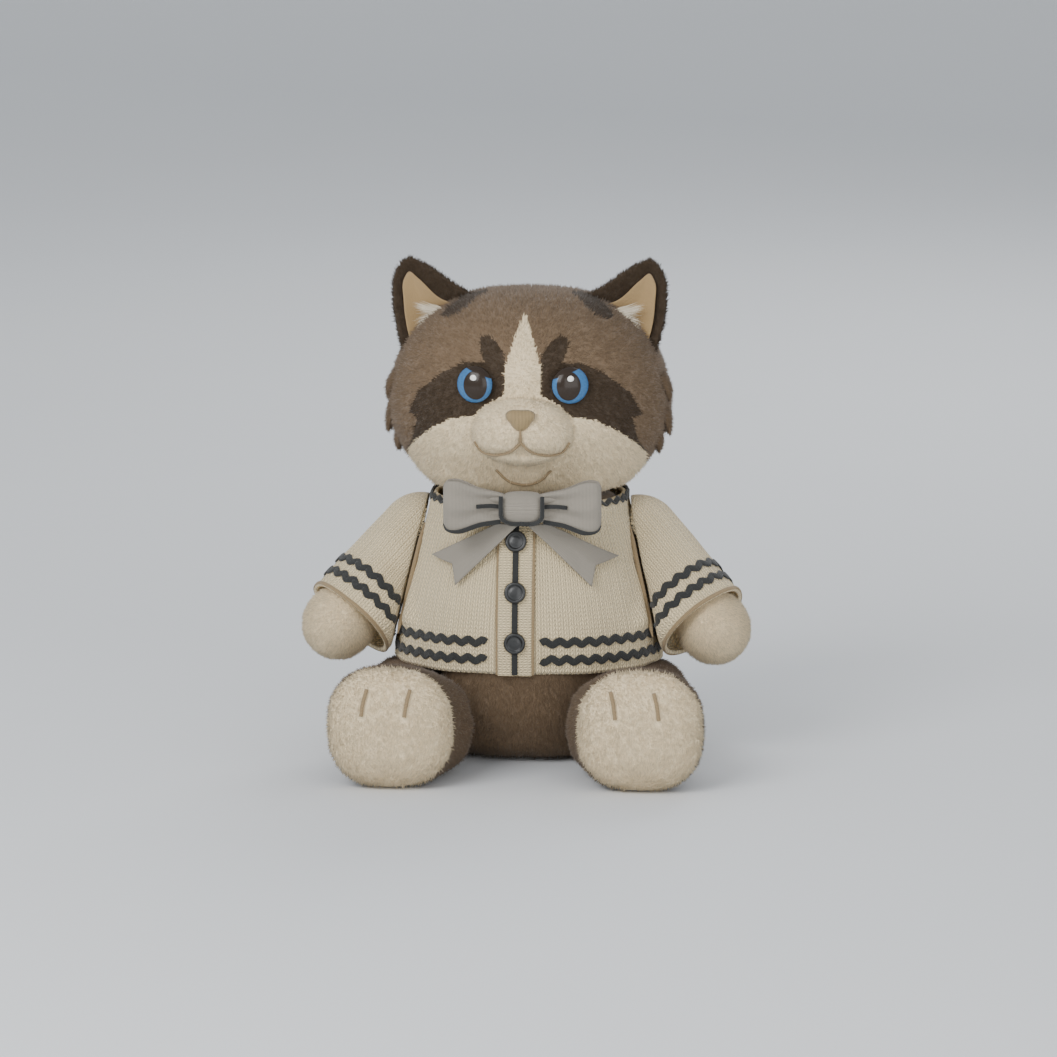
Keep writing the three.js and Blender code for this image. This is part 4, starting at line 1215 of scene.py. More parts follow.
@dataclass
class Bow:
    """A grey ribbon bow: two gathered loops, a wrapped knot and two notched tails, with black piping cords
    that stand for painted shade lines.
    """

    loop_inner: float = 0.020
    loop_outer: float = 0.0395
    ribbon: float = 0.0011
    shade_piping: float = 0.0034
    tail_upper: tuple = ((0.020, 0.197), (0.074, 0.1676))
    tail_lower: tuple = ((0.004, 0.196), (0.054, 0.1466))
    notch: float = 0.14
    hang: float = 0.012
    stalk_width: float = 0.022
    stalk_depth: float = 0.0045

    def __post_init__(self) -> None:
        """Reads the bow's place from the frame."""
        low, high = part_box("bow_knot")
        self.knot = (np.array(low) + np.array(high)) / 2
        self.knot_half = (np.array(high) - np.array(low)) / 2
        self.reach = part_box("bow_loop_left")[1][0] - self.knot[0]

    def height_at(self, out: Array) -> Array:
        """The ribbon's height along a loop, gathered at the knot and full at the end."""
        keys = [(0, self.loop_inner), (0.35, 0.029), (0.8, self.loop_outer), (1, 0.0365)]
        return smooth_through(keys, out)[..., 0]

    def loop(self, side: Side, wardrobe: Wardrobe) -> None:
        """One loop: the ribbon goes out from the knot and comes back behind.

        Seen from above its path is a drop, out = sin(pi t)^0.8 and depth = sin(2 pi t). Across the
        ribbon, pleats fade from the knot outwards.
        """
        t = np.linspace(0.0, 1.0, 73)[:, None]
        v = np.linspace(-0.5, 0.5, 33)[None, :]
        start = self.knot_half[0] * 0.72
        out = np.sin(math.pi * t) ** 0.8
        x = start + (self.reach - start) * out
        deep = -0.0078 * np.sin(2 * math.pi * t) * (0.35 + 0.65 * out)
        pleat = 0.0017 * np.cos(5 * math.pi * v) * (1 - out) ** 0.7 + 0.0011 * np.cos(2 * math.pi * v) * out
        lift = 0.0015 * out
        round_end = 1 - 0.2 * np.clip((out - 0.9) / 0.1, 0, 1) ** 3
        z = self.knot[2] + lift + v * self.height_at(out) * round_end + 0.0008 * np.sin(7 * out + 3 * v)
        y = self.knot[1] - 0.002 + deep + np.where(t < 0.5, -pleat, pleat * 0.6)
        places = np.stack(np.broadcast_arrays(self.knot[0] + side.value * x, y, z), axis=-1)
        path = arc_length(places[:, 16])
        uv = np.stack(np.broadcast_arrays(path[:, None], v * self.loop_outer), axis=-1)
        name = f"bow_loop_{side.word}"
        made = surface(name + "_ribbon", places, uv, away=places.reshape(-1, 3).mean(axis=0))
        thicken(made, self.ribbon)
        dress(made, wardrobe.ribbon, "torso", "grey_ribbon", name)
        self.loop_shade_piping(side, places, wardrobe)

    def loop_shade_piping(self, side: Side, places: Array, wardrobe: Wardrobe) -> None:
        """Black piping cords that stand for painted shade lines: one tapers outwards along the loop's lower
        edge, one lies in a crease beside the knot.

        Args:
            side: The loop's side.
            places: The loop's grid, along the ribbon and across it.
            wardrobe: The materials.
        """
        half = places.shape[0] // 2
        lower = curve_through((places[1 : half - 1 : 3, 0] + [0, -0.0006, 0.0006]).tolist(), 60)
        shade_crease = curve_through((places[1:10:2, 17] + [0, -0.0006, 0]).tolist(), 30)
        share = np.linspace(0, 1, 60)
        tapers = {"edge": 1.1 * np.minimum(1, (1 - share) * 2.2 + 0.2), "shade_crease": np.ones(30)}
        # painted shade: black cords laid along the lower edge and in the crease, where the bow has only
        # shade
        for word, path in (("edge", lower), ("shade_crease", shade_crease)):
            normals = np.repeat([[0.0, -1.0, 0.0]], len(path), axis=0)
            section = oval(self.shade_piping, self.shade_piping * 0.7)
            cord = carried(f"bow_{word}_{side.word}", path, normals, section, scale=tapers[word])
            dress(cord, wardrobe.braid, "torso", "black_braid")

    def knot_wrap(self, wardrobe: Wardrobe) -> None:
        """The ribbon wrapped round the middle.

        Round the wrap it is a superellipse of depth and height. Along x it swells at the middle and
        tucks in at the ends, with soft pleats that run round it.
        """
        u = np.linspace(-1, 1, 41)[:, None]
        turn = np.linspace(0, 2 * math.pi, 65)[None, :]
        tuck = (1 - np.abs(u) ** 6) ** 0.5
        swell = tuck * (1 + 0.05 * np.cos(2.5 * u))
        pleat = 1 + 0.03 * np.cos(9 * u) * np.cos(turn) ** 2
        deep = self.knot_half[1] * swell * pleat * signed_power(np.cos(turn), 0.75)
        tall = self.knot_half[2] * swell * signed_power(np.sin(turn), 0.75)
        x = self.knot[0] + self.knot_half[0] * u
        places = np.stack(np.broadcast_arrays(x, self.knot[1] - deep, self.knot[2] + tall), axis=-1)
        uv = np.stack(np.broadcast_arrays(turn * self.knot_half[2], u * self.knot_half[0]), axis=-1)
        dress(surface("bow_knot_ribbon", places, uv), wardrobe.ribbon, "torso", "grey_ribbon", "bow_knot")
        # painted shade: a black cord round the knot's sides and bottom stands for the shade line there
        w, h, d = self.knot_half[0] * 0.9, self.knot_half[2] * 0.96, self.knot_half[1] + 0.0002
        outline = [(-w, h * 0.8), (-w, 0), (-w * 0.96, -h * 0.62), (-w * 0.6, -h), (0, -h * 1.04)]
        outline += [(w * 0.6, -h), (w * 0.96, -h * 0.62), (w, 0), (w, h * 0.8)]
        flat = curve_through(outline, 70)
        bulge = d * (1 - np.clip(np.abs(flat[:, 1]) / (self.knot_half[2] * 1.12), 0, 1) ** 2.6) ** (1 / 2.6)
        path = np.column_stack(
            [self.knot[0] + flat[:, 0], self.knot[1] - bulge * 0.97, self.knot[2] + flat[:, 1]]
        )
        normals = np.repeat([[0.0, -1.0, 0.0]], len(path), axis=0)
        cord = carried("bow_knot_shade_piping", path, normals, oval(self.shade_piping, self.shade_piping))
        dress(cord, wardrobe.braid, "torso", "black_braid")

    def tail(self, side: Side, wardrobe: Wardrobe) -> None:
        """One tail: a strip that lies on the chest, widens downwards and ends in a V notch.

        A point at v across lies between the lower and the upper edge, and its share along both
        edges is t (1 - notch (1 - |2v - 1|)). Its y follows the chest with a shallow wave and comes
        forward to the knot.

        Args:
            side: The tail's side.
            wardrobe: The materials.
        """
        t = np.linspace(0, 1, 45)[:, None, None]
        v = np.linspace(0, 1, 17)[None, :, None]
        share = t * (1 - self.notch * (1 - np.abs(2 * v - 1)))
        low, up = np.array(self.tail_lower), np.array(self.tail_upper)
        flat = (1 - v) * (low[0] + (low[1] - low[0]) * share) + v * (up[0] + (up[1] - up[0]) * share)
        x, z = self.knot[0] + side.value * flat[..., 0], flat[..., 1]
        t, v = t[..., 0], v[..., 0]
        wave = 0.0012 * np.sin(6 * t + side.value) * np.cos(3 * v) + 0.0006 * t
        y = FORM.front_at(x, z, 0.0088) - np.abs(wave) - self.hang * (1 - t) ** 3
        places = np.stack(np.broadcast_arrays(x, y, z), axis=-1)
        length = float(np.linalg.norm((low[1] + up[1] - low[0] - up[0]) / 2))
        width = float(np.linalg.norm(up[1] - low[1]))
        uv = np.stack(np.broadcast_arrays(length * t, width * v), axis=-1)
        name = f"bow_tail_{side.word}"
        made = surface(name + "_ribbon", places, uv, away=np.array([0, 0, 0.18]))
        thicken(made, self.ribbon)
        dress(made, wardrobe.ribbon, "torso", "grey_ribbon", name)

    def stalk(self, wardrobe: Wardrobe) -> None:
        """A short folded ribbon behind the knot that is sewn to the collar and carries the bow."""
        x, y, z = self.knot
        chest = FORM.front_at(x, 0.197, FORM.knit)
        places = [(x, y + 0.004, z - 0.007), (x, (y + chest) / 2, z - 0.012), (x, chest + 0.002, 0.1965)]
        path = curve_through(places, 30)
        normals = np.repeat([[0.0, 0.0, 1.0]], len(path), axis=0)
        piece = carried("bow_stalk_ribbon", path, normals, oval(self.stalk_width, self.stalk_depth))
        dress(piece, wardrobe.ribbon, "torso", "grey_ribbon")

    def build(self, wardrobe: Wardrobe) -> None:
        """Builds and dresses the bow."""
        self.knot_wrap(wardrobe)
        self.stalk(wardrobe)
        for side in Side:
            self.loop(side, wardrobe)
            self.tail(side, wardrobe)


# ---------------------------------------------------------------- head


@dataclass
class Face:
    """Where the colours and features of the face lie: x from the middle and z above the floor."""

    blaze: list[tuple[float, float]] = field(
        default_factory=lambda: [(0.0012, 0.356), (0.0075, 0.339), (0.0132, 0.321), (0.0142, 0.298)]
    )
    cheek: list[tuple[float, float]] = field(
        default_factory=lambda: [
            (0.0148, 0.298),
            (0.0275, 0.2905),
            (0.038, 0.281),
            (0.056, 0.278),
            (0.073, 0.2685),
            (0.086, 0.257),
            (0.098, 0.241),
        ]
    )
    mask_top: list[tuple[float, float]] = field(
        default_factory=lambda: [
            (0.0132, 0.321),
            (0.0150, 0.329),
            (0.0215, 0.338),
            (0.028, 0.3418),
            (0.0335, 0.3405),
            (0.0348, 0.335),
            (0.0325, 0.328),
            (0.0305, 0.3225),
            (0.046, 0.3215),
            (0.063, 0.3135),
            (0.0835, 0.2965),
            (0.0915, 0.279),
            (0.0845, 0.277),
            (0.0895, 0.256),
        ]
    )
    jaw_back: float = 0.012

    def tones(self, places: Array) -> Array:
        """Numbers of the tones: cream muzzle, cheeks and blaze, dark mask, brown elsewhere.

        Cream lies under the cheek line and within the blaze. The cheek line falls away towards the
        back of the jaw.
        """
        x = np.abs(places[:, 0])
        flat = np.column_stack([x, places[:, 2]])
        front = places[:, 1] < -0.012
        cheek = np.array(self.cheek)
        line = np.interp(x, cheek[:, 0], cheek[:, 1], left=0.298, right=0.236)
        line = line - np.maximum(places[:, 1] + 0.035, 0) * 0.55
        low = (places[:, 2] < line) & (places[:, 1] < self.jaw_back)
        blaze = np.array(self.blaze)[::-1]
        width = np.interp(places[:, 2], blaze[:, 1], blaze[:, 0], left=0.0148, right=-1)
        cream = low | (front & (x < width) & (places[:, 2] > 0.28))
        root = curve_through(
            [(0.043, -0.008, 0.3695), (0.051, -0.022, 0.3635), (0.0575, -0.031, 0.3565)], 12
        )
        mirrored = np.column_stack([x, places[:, 1:]])
        foot = nearness(mirrored, root) < 0.0105
        mask = within(np.array(self.mask_top + self.cheek[::-1]), flat) & front
        order = list(Tone)
        tones = np.full(len(places), order.index(Tone.BROWN))
        tones[mask | foot] = order.index(Tone.DARK)
        tones[cream] = order.index(Tone.CREAM)
        return tones


HEAD_FORM = RoundForm(
    height=0.160,
    half_width=0.111,
    front=0.088,
    back=0.084,
    base=0.2094,
    levels=[
        (0, 0.5, 0.53),
        (0.03, 0.65, 0.66),
        (0.08, 0.745, 0.75),
        (0.16, 0.84, 0.83),
        (0.26, 0.935, 0.93),
        (0.4, 1, 1),
        (0.57, 0.975, 0.98),
        (0.73, 0.89, 0.9),
        (0.865, 0.735, 0.735),
        (0.96, 0.5, 0.48),
        (1, 0.2, 0.2),
    ],
)


@dataclass
class Head:
    """The stuffed head with its muzzle, nose, eyes, ears, cheek tufts and sewn mouth."""

    face: Face = field(default_factory=Face)
    pile: Pile = Pile(count=60000, seed=21, length=0.0042)
    muzzle_pile: Pile = Pile(count=12000, seed=22, length=0.0032, width=0.0009)
    eye_radius: float = 0.0146
    eye_dome: float = 0.0075
    socket: float = 0.0022
    thread: float = 0.0021
    locks: tuple = (
        (0.102, 0.303, 0.1115, 0.2845),
        (0.103, 0.281, 0.1115, 0.2575),
        (0.097, 0.259, 0.1035, 0.2435),
    )
    lock_width: float = 0.0075

    def skin(self, wardrobe: Wardrobe) -> bpy.types.Object:
        """The head's cover, with a shallow socket round each eye, dressed in the face's three backings."""
        cover = Stuffed(voxel=0.004, cap=0.0015, rounds=2).from_form(HEAD_FORM.closed("head_plush", 0.0))
        places = vertices_of(cover)
        for side in Side:
            near = np.linalg.norm(places - self.eye_place(side), axis=1)
            places[:, 1] += self.socket * np.exp(-((near / 0.019) ** 2))
        move_vertices(cover, places)
        cover.data.materials.clear()
        for tone in Tone:
            cover.data.materials.append(wardrobe.skin[tone])
        middles = np.empty(len(cover.data.polygons) * 3, np.float32)
        cover.data.polygons.foreach_get("center", middles)
        tones = self.face.tones(middles.reshape(-1, 3).astype(float))
        cover.data.polygons.foreach_set("material_index", tones.astype(np.int32))
        settle(cover, "head", "brown_plush", "head_cover", "head_stuffing")
        return cover

    def eye_place(self, side: Side) -> Array:
        """The middle of an eye's front, from the frame."""
        low, high = (np.array(corner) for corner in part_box(f"eye_{side.word}"))
        return np.array([side.value * 0.037, low[1] + 0.0075, (low[2] + high[2]) / 2])

    def muzzle(self, wardrobe: Wardrobe) -> bpy.types.Object:
        """The muzzle pad: an ellipsoid with a cleft below the nose and a dimple over the chin.

        On angles a round and b from the pole that faces forward, the surface is an ellipsoid whose
        depth is cut by a narrow bell across the middle, stronger in the lower half.
        """
        low, high = (np.array(corner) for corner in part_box("muzzle_pad"))
        middle = np.array([0, high[1] - 0.002, (low[2] + high[2]) / 2])
        half = (high - low) / 2
        around = np.linspace(0, 2 * math.pi, 97)[None, :]
        pole = np.linspace(0, math.pi * 0.62, 41)[:, None]
        x = half[0] * np.sin(pole) * np.cos(around)
        z = half[2] * np.sin(pole) * signed_power(np.sin(around), 0.92)
        deep = (high[1] - low[1] - 0.003) * np.cos(pole)
        lower = 1 / (1 + np.exp((z + 0.001) / 0.003))
        cleft = 0.0045 * np.exp(-((x / 0.0045) ** 2)) * lower * np.exp(-(((z + 0.010) / 0.012) ** 2))
        chin = 0.004 * np.exp(-(((z + 0.0155) / 0.0035) ** 2)) * np.exp(-((x / 0.022) ** 2))
        places = np.stack(np.broadcast_arrays(x, middle[1] - deep + cleft + chin, middle[2] + z), axis=-1)
        back = np.broadcast_to(middle + [0, 0.012, 0], places[:1].shape)
        piece = surface("muzzle_plush", np.concatenate([places, back]))
        dress(piece, wardrobe.skin[Tone.CREAM], "head", "cream_plush", "muzzle_pad")
        return piece

    def nose(self, wardrobe: Wardrobe) -> None:
        """The satin-stitched nose: a rounded triangle that swells from its rim.

        On angle a and share r the outline's radius is scaled by r and the depth is (1 - r^2.6)^0.5.
        """
        low, high = (np.array(corner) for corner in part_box("nose"))
        middle, half = (low + high) / 2, (high - low) / 2
        turn = np.linspace(0, 2 * math.pi, 73)[None, :]
        r = np.linspace(0, 1, 17)[:, None]
        radius = 0.94 + 0.14 * np.cos(3 * (turn + math.pi / 2))
        x = half[0] * 0.98 * r * radius * np.cos(turn)
        z = half[2] * r * radius * np.sin(turn) + 0.0008
        rise = 0.0058 * np.sqrt(np.maximum(1 - r**2.6, 0))
        base = low[1] + 0.006
        places = np.stack(np.broadcast_arrays(x + middle[0], base - rise, z + middle[2]), axis=-1)
        uv = np.stack(np.broadcast_arrays(x, z), axis=-1)
        back = np.broadcast_to(np.array([middle[0], base + 0.004, middle[2]]), places[:1].shape)
        places = np.concatenate([places, back])
        uv = np.concatenate([uv, np.zeros_like(uv[:1])])
        dress(surface("nose_stitched", places, uv), wardrobe.nose, "head", "nose_thread", "nose")

    def mouth_paths(
        self, muzzle: bpy.types.Object, skin: bpy.types.Object
    ) -> dict[str, tuple[Array, Array]]:
        """The mouth's sewn lines: a stem and two smiles on the muzzle, and the chin on the head below it.

        Args:
            muzzle: The muzzle pad.
            skin: The head's cover.

        Returns:
            Each line's places and the directions outwards there.
        """
        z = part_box("nose")[0][2]
        lines = {"mouth_stem": (muzzle, [(0, z + 0.002), (0, z - 0.008)])}
        chin = [(-0.0215, -0.0355), (-0.0115, -0.0452), (0, -0.048), (0.0115, -0.0452), (0.0215, -0.0355)]
        lines["chin"] = (skin, [(x, z + drop) for x, drop in chin])
        for side in Side:
            smile = [(0, -0.008), (0.009, -0.0162), (0.021, -0.0198), (0.0312, -0.0175), (0.0362, -0.0105)]
            lines[f"mouth_{side.word}"] = (muzzle, [(side.value * x, z + drop) for x, drop in smile])
        laid = {}
        for name, (ground, line) in lines.items():
            flat = curve_through(line, 40)
            path = np.column_stack([flat[:, 0], np.full(len(flat), -0.2), flat[:, 1]])
            laid[name] = laid_on(ground, path, np.array([0.0, 1.0, 0.0]), 0.0008)
        return laid

    def eyes(self, wardrobe: Wardrobe) -> None:
        """The eyes: clear domes over a printed iris, each with a small white glint, a painted highlight."""
        for side in Side:
            middle = self.eye_place(side)
            way = unit(np.array([side.value * 0.30, -1.0, 0.07]))
            right = unit(np.cross(way, [0.0, 0.0, 1.0])) * -1
            up = np.cross(right, way) * -1
            up = up if up[2] > 0 else -up
            turn = np.linspace(0, 2 * math.pi, 65)[None, :, None]
            lift = np.linspace(0, 1, 25)[:, None, None]
            ring = np.cos(turn) * right + np.sin(turn) * up
            flat = np.sin(lift * math.pi / 2)
            rise = np.cos(lift * math.pi / 2)
            seat = middle + way * 0.0012
            places = seat + self.eye_radius * flat * ring + self.eye_dome * rise * way
            uv = np.concatenate([flat * np.cos(turn), flat * np.sin(turn)], axis=-1)
            back = np.broadcast_to(seat - way * 0.004, places[:1].shape)
            places = np.concatenate([places, back])
            uv = np.concatenate([uv, uv[-1:]])
            name = f"eye_{side.word}"
            dress(surface(name + "_dome", places, uv), wardrobe.eyes[side], "head", "eye_plastic", name)
            self.glint(side, seat, way, right, up, wardrobe)

    def glint(
        self, side: Side, seat: Array, way: Array, right: Array, up: Array, wardrobe: Wardrobe
    ) -> None:
        """A small white dot set into the top of an eye: a painted highlight that stands for the eye's
        reflection.
        """
        r = self.eye_radius
        where = seat - right * (side.value * 0.07 * r) + up * (0.36 * r) + way * self.eye_dome * 0.9
        turn = np.linspace(0, 2 * math.pi, 25)[None, :, None]
        lift = np.linspace(0, 1, 9)[:, None, None]
        tilt = unit(way + up * 0.22)
        flat, rise = np.sin(lift * math.pi), np.cos(lift * math.pi)
        places = where + 0.0027 * flat * (np.cos(turn) * right + np.sin(turn) * up) + 0.0008 * rise * tilt
        dress(surface(f"eye_glint_{side.word}", places), wardrobe.glint, "head", "eye_plastic")

    def ear_outline(self, inset: float) -> Array:
        """The outline of the cat's left ear as x and z, drawn in by an inset."""
        tip_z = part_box("ear_left")[1][2]
        outline = [
            (0.041 + inset * 2.0, 0.3625 - inset * 0.5),
            (0.060 + inset * 1.2, 0.3740 - inset * 1.3),
            (0.084 + inset * 0.5, tip_z - 0.0045 - inset * 1.25),
            (0.0965 - inset * 0.1, tip_z - inset * 1.15),
            (0.1065 - inset * 0.8, tip_z - 0.011 - inset * 0.6),
            (0.1085 - inset, 0.362),
            (0.1035 - inset, 0.332),
            (0.094 - inset * 0.9, 0.310 + inset * 0.4),
            (0.072, 0.318 + inset * 0.2),
            (0.050 + inset * 1.2, 0.341 + inset * 0.2),
            (0.041 + inset * 2.0, 0.3625 - inset * 0.5),
        ]
        return curve_through(outline, 97)

    def ear_sheet(
        self, name: str, side: Side, inset: float, rise: float, sink: float, away: float
    ) -> bpy.types.Object:
        """One cupped ear shape.

        On angle and share r the outline is drawn towards its middle by r. Depth is a lens, (1 -
        r^2)^0.5, and the whole ear is cupped forward at its edges by r^2.
        """
        outline = self.ear_outline(inset)
        middle = outline[:-1].mean(axis=0)
        share = np.concatenate([np.linspace(0, 1, 19), np.linspace(1, 0, 19)[1:]])
        face = np.concatenate([np.full(19, 1.0), np.full(18, -1.0)])
        flat = middle + (outline[None] - middle) * share[:, None, None]
        lens = np.sqrt(np.maximum(1 - share**2.4, 0))
        hollow = 0.006 * (1 - share**2)
        front = away + hollow - rise * lens
        back = away + hollow * 1.4 + sink * lens
        y = np.where(face > 0, front, back)[:, None] + 0 * flat[..., 0]
        fall = np.clip((0.345 - flat[..., 1]) / 0.03, 0, 1)
        y = y - 0.008 * fall
        places = np.stack([side.value * flat[..., 0], y, flat[..., 1]], axis=-1)
        return surface(name, places)

    def ears(self, wardrobe: Wardrobe) -> None:
        """Both ears: a dark padded shell, a tan lining in its hollow, pale tufts at the inner corner."""
        for side in Side:
            name = f"ear_{side.word}"
            shell = self.ear_sheet(name + "_plush", side, 0, 0.003, 0.008, -0.006)
            dress(shell, wardrobe.skin[Tone.DARK], "head", "dark_plush", name)
            lining = self.ear_sheet(name + "_lining_nap", side, 0.0085, 0.0018, 0.0012, -0.0098)
            dress(lining, wardrobe.lining, "head", "ear_lining", f"ear_lining_{side.word}")
            hollow = self.ear_outline(0.0085)

            def keep(at: Array, side: Side = side, hollow: Array = hollow) -> Array:
                """No pile under the lining."""
                flat = np.column_stack([side.value * at[:, 0], at[:, 2]])
                return (~(within(hollow, flat) & (at[:, 1] < -0.002))).astype(float)

            pile = Pile(count=9000, seed=31, length=0.0042).grow(
                f"{name}_pile", shell, combed(0, 0, 1), one_tone(Tone.DARK), keep, wardrobe
            )
            settle(pile, "head", "dark_plush")
            self.tufts(side, wardrobe)

    def tufts(self, side: Side, wardrobe: Wardrobe) -> None:
        """Two fans of long pale hairs that rise outwards from the ear's inner corner."""
        rng = np.random.default_rng(41)
        count = 260
        fan = rng.choice([0.24, -0.40], count) + rng.normal(0, 0.09, count)
        foot = np.column_stack(
            [
                0.063 + rng.uniform(0, 0.006, count),
                np.full(count, -0.0135),
                0.3525 + rng.uniform(-0.003, 0.002, count),
            ]
        )
        length = rng.uniform(0.012, 0.026, count)
        way = np.column_stack([np.cos(fan), -0.10 + rng.normal(0, 0.05, count), np.sin(fan)])
        tip = foot + way * length[:, None]
        width = 0.0006
        ring = [foot + width * np.array(step) for step in ((1, 0, 0), (-0.5, 0, 0.87), (-0.5, 0, -0.87))]
        points = np.stack([*ring, tip], axis=1) * [side.value, 1, 1]
        corners = np.array([[0, 2, 1], [0, 1, 3], [1, 2, 3], [2, 0, 3]])
        faces = (np.arange(count)[:, None, None] * 4 + corners).reshape(-1, 3)
        mesh = bpy.data.meshes.new(f"ear_tuft_{side.word}")
        mesh.from_pydata(points.reshape(-1, 3).tolist(), [], faces.tolist())
        weld(mesh, outward=True)
        for material in wardrobe.tuft:
            mesh.materials.append(material)
        mesh.polygons.foreach_set("material_index", rng.integers(0, 2, len(mesh.polygons)).astype(np.int32))
        settle(new_object(f"ear_tuft_{side.word}", mesh), "head", "cream_plush")

    def cheek_tufts(self, wardrobe: Wardrobe) -> None:
        """Pointed locks of long brown pile at each cheek: cones that curve down to a tip.

        The spine is a quadratic curve from foot to tip that bows outwards, and the radius falls with t^1.5.
        """
        t = np.linspace(0, 1, 19)[:, None]
        turn = np.linspace(0, 2 * math.pi, 17)[None, :]
        for side in Side:
            for i, (x, z, tip_x, tip_z) in enumerate(self.locks):
                bow = 4 * t * (1 - t)
                spine_x = x + (tip_x - x) * t + 0.0022 * bow
                spine_z = z + (tip_z - z) * t
                wide = self.lock_width * (1 - t**1.5) + 0.0003
                places = np.stack(
                    np.broadcast_arrays(
                        side.value * (spine_x + 0.55 * wide * np.cos(turn)),
                        -0.014 + 1.3 * wide * np.sin(turn),
                        spine_z + 0.25 * wide * np.cos(turn),
                    ),
                    axis=-1,
                )
                ends = [np.broadcast_to(places[j].mean(axis=0), places[:1].shape) for j in (0, -1)]
                lock = surface(f"cheek_lock_{side.word}_{i}", np.concatenate([ends[0], places, ends[1]]))
                dress(lock, wardrobe.skin[Tone.BROWN], "head", "brown_plush")
                pile = Pile(count=1800, seed=50 + i, length=0.0042, ruffle=0.3)
                way = combed(0.5 * side.value, 0, -1.6)
                made = pile.grow(
                    f"cheek_pile_{side.word}_{i}", lock, way, one_tone(Tone.BROWN), everywhere, wardrobe
                )
                settle(made, "head", "brown_plush")

    def build(self, wardrobe: Wardrobe) -> None:
        """Builds and dresses the head."""
        skin = self.skin(wardrobe)
        muzzle = self.muzzle(wardrobe)
        mouth = self.mouth_paths(muzzle, skin)
        for name, (path, normals) in mouth.items():
            thread = carried(name + "_thread", path, normals, oval(self.thread, self.thread * 0.8))
            dress(thread, wardrobe.thread, "head", "nose_thread")
        sewn = np.concatenate([path for path, _ in mouth.values()])
        eyes = [self.eye_place(side) for side in Side]
        low, high = (np.array(corner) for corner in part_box("muzzle_pad"))
        nose_low, nose_high = (np.array(corner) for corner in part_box("nose"))

        def on_head(at: Array) -> Array:
            """No pile under the eyes, the muzzle or the neck joint."""
            to_eye = np.min([np.linalg.norm(at - eye, axis=1) for eye in eyes], axis=0)
            open_eye = to_eye > self.eye_radius * 0.93
            x, z = at[:, 0] / high[0], (at[:, 2] - (low[2] + high[2]) / 2) / ((high[2] - low[2]) / 2)
            clear = (x**2 + z**2 > 0.72) | (at[:, 1] > 0)
            neck = at[:, 2] > 0.2165
            free = nearness(at, sewn) > 0.0017
            return (open_eye & clear & neck & free).astype(float)

        def on_muzzle(at: Array) -> Array:
            """No pile under the nose or along the sewn mouth."""
            free = nearness(at, sewn) > 0.0019
            nose = (np.abs(at[:, 0]) < nose_high[0] * 0.8) & (at[:, 2] > nose_low[2] + 0.003)
            nose &= at[:, 2] < nose_high[2] - 0.001
            return (free & ~nose & (at[:, 1] < -0.05)).astype(float)

        def from_nose(at: Array, normals: Array) -> Array:
            """The pile runs away from the nose and down."""
            return at - np.array([0, -0.1, 0.30]) + [0, 0, -0.02]

        pile = self.pile.grow("head_pile", skin, from_nose, self.face.tones, on_head, wardrobe)
        settle(pile, "head", "brown_plush")
        pile = self.muzzle_pile.grow(
            "muzzle_pile", muzzle, from_nose, one_tone(Tone.CREAM), on_muzzle, wardrobe
        )
        settle(pile, "head", "cream_plush")
        self.nose(wardrobe)
        self.eyes(wardrobe)
        self.ears(wardrobe)
        self.cheek_tufts(wardrobe)


# ---------------------------------------------------------------- arms


